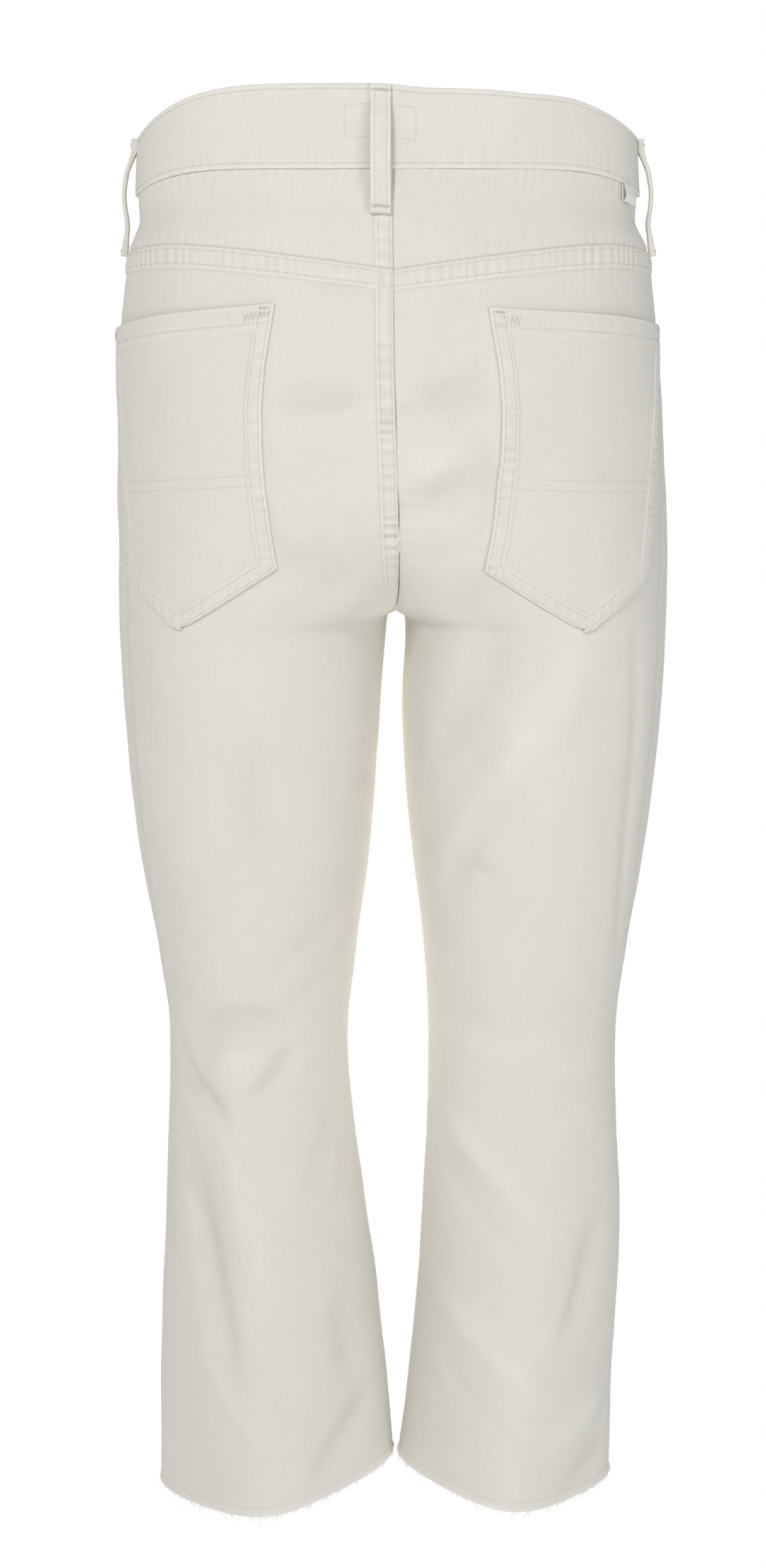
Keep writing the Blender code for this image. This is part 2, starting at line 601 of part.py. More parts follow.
# ---------------------------------------------------------------- fly, button and tab
def fly_strip(name, levels, across, thick, depth, mat):
    """Strip behind the front's middle seam; thick is given for each row and column."""
    level = levels[:, None]
    seam = form(1.0, level, 2 * np.pi - inner_angle(1.0, level))
    bend = FLY_BEND * (across / SHIELD_HALF_WIDTH) ** 2
    x = seam[..., 0] - SEAM_GAP / 2 + across
    y = seam[..., 1] + depth + bend
    z = seam[..., 2] + 0.0 * across
    near = np.stack((x, y, z), -1)
    far = np.stack((x, y + thick, z), -1)
    slab(name, near, far, mat, 1)


def make_zip(metal):
    across = np.array([-ZIP_HALF_WIDTH, -ZIP_SLIDER[0] - 0.3, -ZIP_SLIDER[0], -ZIP_CHAIN[0],
                       ZIP_CHAIN[0], ZIP_SLIDER[0], ZIP_SLIDER[0] + 0.3, ZIP_HALF_WIDTH])
    top, low = ZIP_LEVELS
    start = top - 6.0
    end = start - ZIP_SLIDER[2]
    levels = np.concatenate(([top, start, start - 0.3, end, end - 0.3],
                             np.linspace(end, low, 7)[1:]))
    thick = np.where(np.abs(across) <= ZIP_CHAIN[0], ZIP_CHAIN[1], ZIP_TAPE) + 0.0 * levels[:, None]
    slider = (levels <= start - 0.2) & (levels >= end)
    thick[np.ix_(slider, np.abs(across) <= ZIP_SLIDER[0])] = ZIP_SLIDER[1]
    fly_strip("zip", levels, across, thick, WALL + FLY_GAP, metal)


def make_fly_shield(denim):
    across = np.linspace(-SHIELD_HALF_WIDTH, SHIELD_HALF_WIDTH, 7)
    levels = np.linspace(*SHIELD_LEVELS, 8)
    thick = SHIELD_WALL + 0.0 * levels[:, None] + 0.0 * across
    fly_strip("fly_shield", levels, across, thick, WALL + ZIP_SLIDER[1] + 2 * FLY_GAP, denim)


def make_button(metal):
    """Turned button standing on the lapped end of the waistband."""
    centre = band(np.array(np.pi), np.array(0.5), np.array(BAND_PROUD + LAY_GAP))
    axis = band(np.array(np.pi), np.array(0.5), np.array(BAND_PROUD + 1 + LAY_GAP)) - centre
    across = np.cross(axis, (0.0, 0.0, 1.0))
    across /= np.linalg.norm(across)
    up = np.cross(across, axis)
    turn = np.linspace(0.0, 2 * np.pi, BUTTON_SIDES, endpoint=False)
    spoke = np.cos(turn)[:, None] * across + np.sin(turn)[:, None] * up
    profile = np.array(BUTTON_PROFILE)
    rings = (centre + profile[1:-1, 1, None, None] * axis
             + profile[1:-1, 0, None, None] * spoke).reshape(-1, 3)
    points = np.concatenate((rings, [centre, centre + profile[-1, 1] * axis]))
    count = len(profile) - 2
    faces = []
    for j in range(BUTTON_SIDES):
        k = (j + 1) % BUTTON_SIDES
        faces.append((len(rings), j, k))
        for i in range(count - 1):
            a = i * BUTTON_SIDES
            faces.append((a + k, a + j, a + BUTTON_SIDES + j, a + BUTTON_SIDES + k))
        a = (count - 1) * BUTTON_SIDES
        faces.append((a + k, a + j, len(rings) + 1))
    add_mesh("button", points, faces, metal)


def make_side_tab(ribbon):
    """Folded ribbon below the waistband seam: a U profile carried round the cloth."""
    middle = np.radians(90.0 + abs(TAB_PLACE))
    angle = middle + np.linspace(-0.5, 0.5, 3) * TAB_WIDTH / column("outer", WAIST_LEVEL) * 1.6
    profile = np.array(TAB_PROFILE)
    level = WAIST_LEVEL - 1.5 * SEAM_GAP - profile[:, 0]
    grid = cloth(-1.0, level[:, None] + 0.0 * angle, angle + 0.0 * level[:, None],
                 profile[:, 1:2] + 0.0 * angle)
    count, across = grid.shape[:2]
    points = grid.reshape(-1, 3)
    faces = []
    for i in range(count):
        for j in range(across - 1):
            a, b = i * across + j, (i + 1) % count * across + j
            faces.append((a, a + 1, b + 1, b))
    faces.append(tuple(range(0, count * across, across)))
    faces.append(tuple(range(across - 1, count * across, across))[::-1])
    add_mesh("side_tab", points, faces, ribbon)


def clear_scene():
    for thing in list(bpy.data.objects):
        bpy.data.objects.remove(thing, do_unlink=True)


def main():
    clear_scene()
    denim = material("denim", (0.70, 0.69, 0.65), 0.85, 0.0)
    ribbon = material("tab_ribbon", (0.80, 0.80, 0.78), 0.7, 0.0)
    metal = material("brushed_metal", (0.55, 0.54, 0.52), 0.35, 1.0)
    for name, side in SIDES:
        make_yoke(name, side, denim)
        make_back(name, side, denim)
        make_front(name, side, denim)
        make_facing(name, side, denim)
        make_back_pocket(name, side, denim)
    make_waistband(denim)
    for name, place in LOOP_PLACES.items():
        make_belt_loop(name, place, denim)
    make_zip(metal)
    make_fly_shield(denim)
    make_button(metal)
    make_side_tab(ribbon)


main()
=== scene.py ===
"""Looks of a pair of cropped kick-flare jeans, filled out as if worn, seen from behind.

Frame: +Z up, the wearer faces -Y, the wearer's left is +X.  Lengths are in millimetres until a
mesh is made.  Each half of the garment is one oval section carried from waist to hem, where a
place is a level and an angle: 0 at the inseam, 90 degrees at the middle of the back, 180 at
the side and 270 at the middle of the front.  A piece of cloth is a grid of such places, moved
out along the form's normal by its seams, puckers and folds.
"""

import bpy
import numpy as np
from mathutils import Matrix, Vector


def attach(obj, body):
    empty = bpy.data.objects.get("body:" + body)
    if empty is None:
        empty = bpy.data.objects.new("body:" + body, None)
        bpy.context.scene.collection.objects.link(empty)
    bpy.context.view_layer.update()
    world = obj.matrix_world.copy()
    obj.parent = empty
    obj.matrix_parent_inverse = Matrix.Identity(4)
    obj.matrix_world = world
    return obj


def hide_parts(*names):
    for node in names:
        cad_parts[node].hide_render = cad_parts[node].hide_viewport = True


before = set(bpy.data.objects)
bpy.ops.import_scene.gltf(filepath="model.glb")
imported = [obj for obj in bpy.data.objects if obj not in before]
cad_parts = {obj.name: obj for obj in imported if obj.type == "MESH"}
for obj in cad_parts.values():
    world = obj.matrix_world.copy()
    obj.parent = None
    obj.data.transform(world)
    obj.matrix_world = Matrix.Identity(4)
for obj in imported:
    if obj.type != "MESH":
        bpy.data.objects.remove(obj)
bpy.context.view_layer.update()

MM = 0.001

# ---------------------------------------------------------------- sizes of the form (mm)
WALL = 1.3
SEAM_GAP = 0.06
BACK_LIFT_POWER = 7.0
WAIST_LEVEL = -12.0
FLAT_LEVEL = -150.0
CROTCH_LEVEL = -268.0
HEM_LEVELS = {1.0: -873.0, -1.0: -866.0}
SLANT_SHIFT = 0.25

# A section's level, the oval's ends across, its reach back and front, how far the row rises
# at the back and front, the shift of its ends, the side seam's angle, the slant, squareness.
SECTION_COLUMNS = ("level", "inner", "outer", "back", "front", "lift_back", "lift_front",
                   "shift_inner", "shift_outer", "seam", "slant", "square")
SECTIONS = (
    (WAIST_LEVEL, -155.0, 155.0, 82.0, -76.0, 17.0, -29.0, 0.5, 3.4, 6.0, 0.0, 0.05),
    (-26.0, -154.0, 154.0, 87.5, -79.0, 14.7, -26.0, 0.5, 3.4, 5.0, 0.0, 0.05),
    (-44.0, -161.0, 161.0, 95.0, -82.5, 12.0, -21.5, 0.5, 3.0, 5.0, 0.0, 0.05),
    (-65.0, -164.0, 164.0, 101.0, -86.0, 9.5, -16.0, 0.2, 3.0, 5.0, 0.0, 0.05),
    (-95.0, -167.5, 167.5, 108.0, -90.0, 5.5, -9.0, 0.0, 3.0, 6.0, 0.0, 0.05),
    (FLAT_LEVEL, -158.0, 171.5, 115.0, -95.0, 0.0, 0.0, -1.5, 1.5, 13.0, 0.0, 0.05),
    (-200.0, -88.0, 173.5, 114.0, -97.0, 0.0, 0.0, -3.0, 0.5, 20.0, 0.0, 0.05),
    (-240.0, -34.0, 174.0, 106.0, -94.0, 0.0, 0.0, -3.5, 0.0, 25.0, 0.0, 0.05),
    (CROTCH_LEVEL, 0.0, 174.4, 97.0, -89.5, 0.0, 0.0, -2.0, 0.0, 27.0, 0.0, 0.04),
    (-270.0, 4.2, 174.4, 96.4, -89.3, 0.0, 0.0, -2.0, 0.0, 27.0, 0.0, 0.04),
    (-276.0, 6.0, 174.4, 94.8, -88.7, 0.0, 0.0, -2.0, 0.0, 27.0, 0.0, 0.04),
    (-290.0, 6.5, 174.3, 92.3, -87.8, 0.0, 0.0, -1.5, 0.0, 27.0, 0.0, 0.03),
    (-321.0, 7.0, 173.4, 88.0, -86.0, 0.0, 0.0, 0.5, 0.0, 28.0, 0.0, 0.02),
    (-378.0, 9.7, 169.6, 82.0, -84.0, 0.0, 0.0, 1.5, 0.5, 27.0, 0.0, 0.00),
    (-435.0, 14.9, 163.0, 74.0, -80.0, 0.0, 0.0, 1.0, 0.3, 23.0, 0.0, 0.00),
    (-493.0, 22.2, 153.6, 64.0, -73.0, 0.0, 0.0, 1.8, 0.3, 15.0, 0.0, 0.00),
    (-551.0, 27.0, 147.5, 57.0, -66.0, 0.0, 0.0, 2.8, -0.3, 8.0, 0.0, 0.00),
    (-611.0, 24.6, 149.6, 60.0, -63.5, 0.0, 0.0, 1.5, -0.2, 3.0, -2.0, -0.03),
    (-671.0, 19.8, 152.3, 64.0, -65.0, 0.0, 0.0, -0.5, -0.3, 0.0, -5.0, -0.07),
    (-733.0, 14.7, 154.0, 68.0, -67.0, 0.0, 0.0, -3.0, 1.5, 0.0, -9.0, -0.12),
    (-796.0, 8.6, 153.8, 71.5, -70.0, 0.0, 0.0, -3.4, 4.0, 0.0, -13.0, -0.18),
    (HEM_LEVELS[1.0], 1.6, 154.4, 74.0, -73.0, -2.0, -2.0, -2.0, 5.4, 0.0, -16.0, -0.25),
)

BAND_TOP = {"outer": 153.0, "back": 76.0, "front": -70.0, "level": 23.5,
            "lift_back": 30.5, "lift_front": -19.0, "peak": 0.18, "power": {1.0: 4.2, -1.0: 4.4}}
BAND_SAG = (-50.0, 26.0, 62.0, 2.6)    # middle, half width, end of the fade and depth of a dip
BAND_WALL = 2.6
BAND_PROUD = 1.1
BAND_OVER = 14.0
BAND_UNDER = 30.0
BAND_STEP = 18.0

YOKE_SIDE_LEVEL = -46.0
YOKE_DROP = 16.5
YOKE_CURVE = 1.6
FELL_WIDTH = 10.5          # the folded, twice stitched band beside a felled seam
FELL_RISE = 0.9
SCOOP_WIDTH = 0.58
SCOOP_DEPTH = 78.0
FACING_DEPTH = 96.0

POCKET_CUT = (             # depth, and where the inner and outer edges lie
    (0.0, 3.0, 146.0),
    (32.0, 9.5, 142.0),
    (52.0, 11.5, 138.6),
    (84.0, 11.2, 132.5),
    (104.0, 9.7, 129.0),
    (123.0, 8.0, 125.3),
    (148.0, 4.5, 120.0),
)
POCKET_POINT = 0.55
POCKET_FOOT = 35.0
POCKET_WIDE = 116.0        # across its foot
POCKET_LINE = 118.0
POCKET_PLACES = {"left": (-55.0, -80.0, 12.0), "right": (-70.0, -82.0, 8.0)}

LOOP_SHAPE = (             # share of the length, stand-off and thickness
    (0.00, 1.1, 3.4), (0.11, 1.1, 3.4), (0.17, 3.2, 2.2), (0.28, 6.2, 1.9), (0.42, 7.5, 1.5),
    (0.58, 7.7, 1.5), (0.74, 6.6, 1.9), (0.85, 3.4, 2.2), (0.92, 1.1, 3.2), (1.00, 1.1, 3.2),
)
LOOP_WIDTH = 12.0
LOOP_LENGTH = 71.0
LOOP_PLACES = {"back": 2.0, "side_left": 89.0, "side_right": -89.0,
               "front_left": 146.0, "front_right": -146.0}

SIDES = (("left", 1.0), ("right", -1.0))

# Folds: side, where a straight trough or ridge starts and ends (level, and mm round the form
# from the middle of that half's back), half width, height (troughs below 0).
FOLDS = (
    (1, -127, 62, -125, 20, 10, -2.5),
    (1, -219, 5, -249, -42, 11, -2.0),
    (1, -350, 2, -420, -6, 15, -2.0),
    (1, -537, 46, -531, -16, 10, -3.0),
    (1, -554, 25, -571, -4, 16, 3.5),
    (1, -571, 62, -594, 20, 9, -2.5),
    (1, -547, -27, -582, 8, 9, -2.0),
    (1, -601, 18, -712, 1, 12, 3.0),
    (1, -628, 48, -778, 27, 11, -3.5),
    (1, -729, -56, -798, -68, 12, -2.0),
    (1, -857, -39, -815, -82, 11, -3.0),
    (-1, -128, 16, -121, 56, 9, -2.5),
    (-1, -172, -6, -151, 38, 11, 2.5),
    (-1, -191, -18, -169, 44, 9, -2.5),
    (-1, -261, -50, -236, -3, 11, -2.0),
    (-1, -287, 28, -428, -66, 15, 3.0),
    (-1, -281, -24, -352, -66, 12, -3.0),
    (-1, -367, -22, -444, -57, 12, -2.5),
    (-1, -600, -58, -664, 15, 11, 2.5),
    (-1, -672, 55, -745, 36, 11, -2.5),
    (-1, -727, -65, -792, 25, 13, 2.5),
    (-1, -827, 32, -799, 75, 11, 2.5),
    (-1, -859, 48, -834, 86, 9, -2.0),
    (1, -236, 405, -208, 318, 11, -2.5),
    (1, -262, 352, -246, 262, 12, 2.0),
    (-1, -240, 400, -214, 310, 11, -2.5),
    (-1, -268, 345, -254, 255, 12, 2.0),
    (1, -548, 222, -562, 158, 11, -2.5),
    (1, -604, 214, -590, 160, 12, 2.0),
    (-1, -556, 225, -544, 160, 11, -2.5),
    (-1, -588, 215, -606, 155, 12, 2.0),
)
FOLD_GAIN = 1.45
FOLD_PAINTED_SHADE = 0.05           # painted shade and light: how much a millimetre of fold darkens (troughs) or lightens (crests) the cloth

# Creases: side, half width, height, and the places (level, mm round) of a bent line.
CREASES = (
    (1, 6, -1.5, (-129, 68), (-128, 36), (-126, 6)),
    (1, 9, 1.3, (-144, 60), (-140, 33), (-135, 7)),
    (1, 5, -1.5, (-188, 45), (-206, 27), (-217, 13), (-229, -5)),
    (1, 22, -1.8, (-190, 22), (-212, -6), (-232, -46)),
    (1, 7, -0.9, (-160, 40), (-168, 8)),
    (1, 6, -1.8, (-534, 36), (-523, 18), (-521, 2), (-533, -22)),
    (1, 13, 2.0, (-560, 34), (-553, 8), (-557, -14)),
    (1, 5, -2.0, (-549, 61), (-573, 40), (-597, 20)),
    (1, 5, -1.6, (-552, -25), (-565, -13), (-580, 4)),
    (1, 8, -1.4, (-597, 20), (-634, 9), (-690, 7)),
    (1, 11, -1.6, (-346, -3), (-370, -2), (-398, 1)),
    (1, 6, -1.4, (-462, -60), (-478, -33), (-494, -10)),
    (1, 5, -1.0, (-500, -54), (-508, -30)),
    (1, 4, -1.3, (-69, 48), (-72, 30), (-72, 14)),
    (1, 9, -1.2, (-596, -58), (-626, -46), (-655, -34)),
    (1, 5, -0.9, (-640, 60), (-668, 44), (-690, 38)),
    (1, 6, 1.1, (-760, 52), (-800, 30), (-828, 2)),
    (1, 6, -1.0, (-782, 10), (-812, -18), (-836, -52)),
    (-1, 6, -1.8, (-135, -2), (-131, 12), (-127, 26), (-117, 53)),
    (-1, 9, 1.7, (-182, -22), (-172, -4), (-159, 16)),
    (-1, 6, -1.7, (-198, -40), (-187, -11), (-178, 18)),
    (-1, 6, -1.7, (-157, 47), (-172, 40), (-189, 25), (-212, -6)),
    (-1, 14, -2.2, (-252, -22), (-290, -26), (-327, -31), (-374, -46), (-421, -71)),
    (-1, 15, 1.6, (-262, 18), (-341, 15), (-410, 4)),
    (-1, 5, -1.7, (-431, -58), (-422, -40), (-431, -20)),
    (-1, 6, -1.4, (-272, 62), (-315, 67), (-359, 70), (-428, 67), (-488, 68)),
    (-1, 8, -1.6, (-529, -52), (-535, -20), (-528, 14)),
    (-1, 9, 1.5, (-548, -44), (-552, -14), (-544, 18)),
    (-1, 6, -1.3, (-224, -42), (-216, -20), (-216, -2)),
    (-1, 6, -1.1, (-580, 30), (-600, 8), (-611, -20)),
    (-1, 6, -1.2, (-636, -56), (-668, -26), (-690, 6)),
    (-1, 6, 1.0, (-700, 40), (-742, 24), (-776, -8)),
    (-1, 6, -1.1, (-770, -60), (-800, -30), (-822, 8)),
    (1, 6, -1.4, (-196, 455), (-196, 410), (-186, 360), (-172, 322)),
    (1, 6, -1.3, (-222, 425), (-226, 385), (-218, 340)),
    (1, 7, 1.2, (-208, 430), (-210, 390), (-203, 340)),
    (-1, 6, -1.3, (-200, 450), (-202, 405), (-194, 360), (-182, 330)),
    (-1, 6, -1.4, (-228, 420), (-232, 378), (-224, 338)),
    (1, 5, -1.4, (-520, 218), (-530, 190), (-527, 158)),
    (1, 5, -1.2, (-578, 214), (-584, 184), (-577, 158)),
    (-1, 5, -1.5, (-526, 216), (-534, 186), (-530, 156)),
    (-1, 5, -1.1, (-574, 212), (-581, 180), (-572, 156)),
    (1, 7, -1.0, (-330, 235), (-390, 250), (-440, 240)),
    (-1, 7, -1.1, (-340, 240), (-400, 252), (-450, 236)),
    (1, 6, -1.1, (-660, 170), (-720, 196), (-770, 214)),
    (-1, 6, -1.0, (-650, 214), (-710, 190), (-768, 166)),
)

FLY_WIDE, FLY_FOOT, FLY_TURN = 37.0, -186.0, 30.0     # the fly's curved topstitching
FLY_BEND = 1.2
FLY_SHIELD = (21.0, (-14.0, -184.0), 2.0, 5.5)        # half width, levels, thickness and depth
ZIP_TAPES = (13.0, (-14.0, -165.0), 0.8, 2.9)
ZIP_PITCH = 1.7
SLIDER_PROFILE = (         # share of the outline, height
    (0, 0), (0.86, 0), (0.97, 0.08), (1, 0.25), (1, 0.55), (0.95, 0.72), (0.45, 0.8), (0.40, 1.0),
    (0.40, 1.9), (0.45, 2.1), (0.95, 2.18), (1, 2.35), (1, 2.7), (0.96, 2.88), (0.85, 2.95),
    (0, 2.95))
PULL_PROFILE = ((0, 0), (0.90, 0), (0.98, 0.06), (1, 0.2), (1, 0.4), (0.98, 0.54), (0.90, 0.6),
                (0, 0.6))
BUTTON_PROFILE = (         # radius, height
    (0, 0), (4.7, 0), (4.9, 0.2), (4.9, 0.75), (5.4, 0.95), (7.4, 1.1), (8.1, 1.3), (8.45, 1.65),
    (8.5, 2.0), (8.35, 2.45), (7.95, 2.82), (7.4, 3.0), (6.85, 2.98), (6.45, 2.8), (6.1, 2.5),
    (5.7, 2.34), (5.2, 2.3), (4.6, 2.36), (3.4, 2.46), (1.8, 2.52), (0, 2.54))
TAB_PLACE, TAB_WIDTH, TAB_TURN = -68.0, 11.0, -1
TAB_LINE = ((-0.1, 0.7), (1.5, 0.6), (3.5, 0.6), (5.5, 0.8), (7.4, 1.1), (8.9, 1.8), (9.3, 2.7),
            (8.6, 3.7), (6.8, 4.3), (4.8, 4.2), (2.9, 3.5), (1.3, 2.7), (-0.1, 2.3))
LABEL_BOX = (-15.0, 27.0, 12.3, 31.0)   # stitched rectangle: run left, right, down, lower
PLAIN_ROWS = (92.0, 98.0)               # depths of two plain rows across a back pocket
HOLE_INNER, HOLE_OUTER = (9.2, 1.0), (11.0, 2.9)      # half sizes of the buttonhole's stitches
FRINGE_COUNT = 260
STITCH = 2.8               # from one topstitch to the next
THREAD = 0.21              # radius of topstitch thread
STITCH_ARCH = (-0.30, 0.12, 0.24, 0.12, -0.30)
BAR_ARCH = (-0.15, 0.30, 0.38, 0.30, -0.15)
SEW_FIRST, SEW_SECOND = 1.9, 8.6        # two rows of topstitching in from an edge

# Cloths: name, colour, colour in hollows (painted shade), pitch of the twill, slub, and height
# (metres).
WOVEN = (
    ("off_white_denim", (0.775, 0.76, 0.712, 1.0), (0.66, 0.635, 0.575, 1.0),
     0.0011, 0.16, 0.00009),
    ("white_ribbon", (0.84, 0.84, 0.82, 1.0), (0.70, 0.70, 0.68, 1.0), 0.0007, 0.08, 0.00005),
    ("zip_tape", (0.74, 0.73, 0.69, 1.0), (0.60, 0.59, 0.54, 1.0), 0.0008, 0.10, 0.00006),
)
# painted light: the lighter, warmer colour laid on the inner thighs
INNER_THIGH_PAINTED_LIGHT = (0.96, 0.925, 0.84, 1.0)
THREAD_COLOUR, FIBRE_COLOUR = (0.70, 0.675, 0.615, 1.0), (0.76, 0.745, 0.70, 1.0)

CAMERA_PLACE, CAMERA_TILT = (0.0063, 1.70, 0.0), 12.752      # metres and degrees
FOCAL_PIXELS, FRAME_PIXELS, SENSOR = 3778.0, 2210.0, 36.0
FLOOR = -1.25              # metres
SKY = 0.44
LAMP_AIM = (0.0, 0.0, -0.42)
LAMPS = (                  # name, place in metres, size, power in watts and colour
    ("key", (0.70, 2.05, 1.15), 0.7, 24.5, (1.0, 0.99, 0.97)),
    ("fill", (-1.4, 1.9, -0.2), 1.0, 11.0, (0.98, 0.99, 1.0)),
    ("left_side", (2.3, 0.6, -0.2), 0.9, 3.2, (1.0, 0.985, 0.95)),
    ("far_side", (0.0, -2.1, -0.2), 1.2, 30.0, (1.0, 0.98, 0.93)),
)


# ---------------------------------------------------------------- the form
def unit(vectors):
    return vectors / np.linalg.norm(vectors, axis=-1, keepdims=True)


def run_along(path):
    """Length along a line of points, up to each of them."""
    return np.concatenate(([0.0], np.cumsum(np.linalg.norm(np.diff(path, axis=0), axis=-1))))


def smoothed(values, width):
    kernel = np.hanning(width)
    return np.convolve(np.pad(values, width // 2, mode="edge"), kernel / kernel.sum(), "valid")


def column(name, level):
    """One table column at a level: a monotone cubic with harmonic-mean slopes."""
    table = np.array(SECTIONS)[::-1]
    x = table[:, 0]
    y = table[:, SECTION_COLUMNS.index(name)]
    step = np.diff(x)
    rise = np.diff(y) / step
    product = rise[1:] * rise[:-1]
    total = np.where(product > 0.0, rise[1:] + rise[:-1], 1.0)
    bend = np.where(product > 0.0, 2.0 * product / total, 0.0)
    slope = np.concatenate(([rise[0]], bend, [rise[-1]]))
    level = np.asarray(level, float)
    i = np.clip(np.searchsorted(x, level) - 1, 0, len(step) - 1)
    t = (level - x[i]) / step[i]
    return (y[i] * (1 + 2 * t) * (1 - t) ** 2 + slope[i] * step[i] * t * (1 - t) ** 2
            + y[i + 1] * t * t * (3 - 2 * t) + slope[i + 1] * step[i] * t * t * (t - 1))


def oval(side, level):
    """Middle and half width of one side's oval, and the mid plane, measured outwards."""
    shift_inner = side * column("shift_inner", level)
    inner = column("inner", level) + shift_inner
    outer = column("outer", level) + side * column("shift_outer", level)
    return (inner + outer) / 2, (outer - inner) / 2, shift_inner


def form(side, level, angle):
    """Point of the cloth's outer face, before folds.

    Across: middle - half * cos(a) * (1 + q sin(a)^2); depth: reach * sin(a) * (1 + q cos(a)^2).
    A row rises at the back as 1 - |cos(a)|^p and at the front as sin(a)^2.
    """
    middle, half, _ = oval(side, level)
    c, s = np.cos(angle), np.sin(angle)
    reach = np.where(s > 0.0, column("back", level), -column("front", level))
    lift = np.where(s > 0.0, column("lift_back", level) * (1 - np.abs(c) ** BACK_LIFT_POWER),
                    column("lift_front", level) * s ** 2)
    square = column("square", level)
    x = middle - half * c * (1 + square * s ** 2)
    y = reach * s * (1 + square * c ** 2)
    z = level + lift - column("slant", level) * (1 + SLANT_SHIFT * side) * (1 + c) / 2
    return np.stack([side * x, y, z + 0.0 * x], -1)


def outward(side, level, angle):
    """Unit normal of the form: down-row and round-row differences, crossed."""
    d_level, d_angle = 0.25, 0.002
    down = form(side, level + d_level, angle) - form(side, level - d_level, angle)
    around = form(side, level, angle + d_angle) - form(side, level, angle - d_angle)
    return unit(side * np.cross(down, around))


def inner_angle(side, level):
    """Angle of the inner edge: at the mid plane above the crotch, at the inseam below it."""
    middle, half, plane = oval(side, level)
    wanted = np.minimum((middle - plane - SEAM_GAP / 2) / half, 1.0)
    c = wanted
    for _ in range(8):
        c = wanted / (1 + column("square", level) * (1 - c * c))
    return np.maximum(np.arccos(c), SEAM_GAP / 2 / column("back", level))


class Round:
    """Lengths along the cloth round each section of one side, measured from the inner edge."""

    def __init__(self, side):
        self.side = side
        self.top, self.step, self.count = 0.0, 4.0, 361
        self.level = np.arange(self.top, -900.0, -self.step)
        self.start = inner_angle(side, self.level)
        self.share = np.linspace(0.0, 1.0, self.count)
        angle = self.start[:, None] + (2 * np.pi - 2 * self.start[:, None]) * self.share
        points = form(side, self.level[:, None], angle)
        steps = np.linalg.norm(np.diff(points, axis=1), axis=-1)
        self.run = np.concatenate((np.zeros((len(steps), 1)), np.cumsum(steps, 1)), 1)
        behind = angle < np.pi
        self.line = np.array([np.interp(POCKET_LINE, (side * p[:, 0])[b], r[b])
                              for p, b, r in zip(points, behind, self.run)])

    def run_at(self, level, share):
        """Bilinear reading of the table."""
        row = np.clip((self.top - level) / self.step, 0.0, len(self.level) - 1.001)
        place = np.clip(share, 0.0, 1.0) * (self.count - 1)
        i, j = row.astype(int), np.minimum(place.astype(int), self.count - 2)
        t, u = row - i, place - j
        return ((self.run[i, j] * (1 - u) + self.run[i, j + 1] * u) * (1 - t)
                + (self.run[i + 1, j] * (1 - u) + self.run[i + 1, j + 1] * u) * t)

    def angle_at(self, level, run):
        """Angle of the place that far round, found by halving the share's range."""
        level, run = np.broadcast_arrays(np.asarray(level, float), np.asarray(run, float))
        low, high = np.zeros(level.shape), np.ones(level.shape)
        for _ in range(26):
            share = (low + high) / 2
            less = self.run_at(level, share) < run
            low, high = np.where(less, share, low), np.where(less, high, share)
        start = inner_angle(self.side, level)
        return start + (2 * np.pi - 2 * start) * (low + high) / 2

    def seam(self, level):
        """Length from the inner edge round to the side seam."""
        start = inner_angle(self.side, level)
        angle = np.radians(180.0 - column("seam", level))
        return self.run_at(level, (angle - start) / (2 * np.pi - 2 * start))

    def whole(self, level):
        return self.run_at(level, np.ones(np.shape(level)))

    def pocket_line(self, level):
        return np.interp(-level, -self.level, self.line)


ROUNDS = {side: Round(side) for _, side in SIDES}


# ---------------------------------------------------------------- relief
def ripple(run, pitch, phase):
    """Uneven wave: a sine whose phase and height drift along the run."""
    drift = 1.7 * np.sin(run / 9.1 + phase) + 0.9 * np.sin(run / 4.3 + 2.1 * phase)
    height = 0.62 + 0.38 * np.sin(run / 7.7 + 3.3 * phase) * np.sin(run / 17.0 + phase)
    return height * np.sin(2 * np.pi * run / pitch + drift)


def fade(distance, start, end):
    """1 up to start, smoothly down to 0 at end."""
    t = np.clip((distance - start) / (end - start), 0.0, 1.0)
    return 1 - t * t * (3 - 2 * t)


def groove(distance, place, half_width=0.8):
    return -np.exp(-((distance - place) / half_width) ** 2)


def fallen(distance, radius):
    """How far a rounded edge falls back: 1 at the edge, 0 from the radius on."""
    return 1 - np.sqrt(np.clip(1 - (1 - np.clip(distance / radius, 0, 1)) ** 2, 0, 1))


def felled(distance, run, phase, pitch=6.2, pucker=1.0):
    """Height of a felled seam's band: folded layer, two stitched grooves, and puckers.

    The puckers stand across the band, pucker times their usual height, and fade beyond it.
    """
    flat = FELL_RISE * fade(distance, FELL_WIDTH - 0.5, FELL_WIDTH + 0.7)
    edge = -0.55 * (1 - np.clip(distance / 1.2, 0.0, 1.0)) ** 2
    sewn = 0.22 * (groove(distance, 1.9) + groove(distance, FELL_WIDTH - 1.9))
    swell = 0.24 * np.exp(-((distance - FELL_WIDTH / 2) / 2.6) ** 2)
    wave = ripple(run, pitch, phase)
    within = 0.42 * np.exp(-((distance - FELL_WIDTH / 2) / 4.2) ** 4)
    beyond = 0.20 * np.exp(-(distance / 17.0) ** 2)
    return flat + edge + sewn + swell + pucker * wave * (within + beyond)


def plain_seam(distance, run, phase):
    """Edge of a seam pressed open: the cloth turns in, with faint long puckers."""
    turn_in = -0.55 * np.exp(-distance / 0.9)
    return turn_in + 0.14 * ripple(run, 11.0, phase) * np.exp(-(distance / 10.0) ** 2)


def off_crotch(level):
    """0 round the crotch, where turned-in edges would part the two halves, and 1 away from it."""
    return 1 - fade(np.abs(level - CROTCH_LEVEL), 14.0, 40.0)


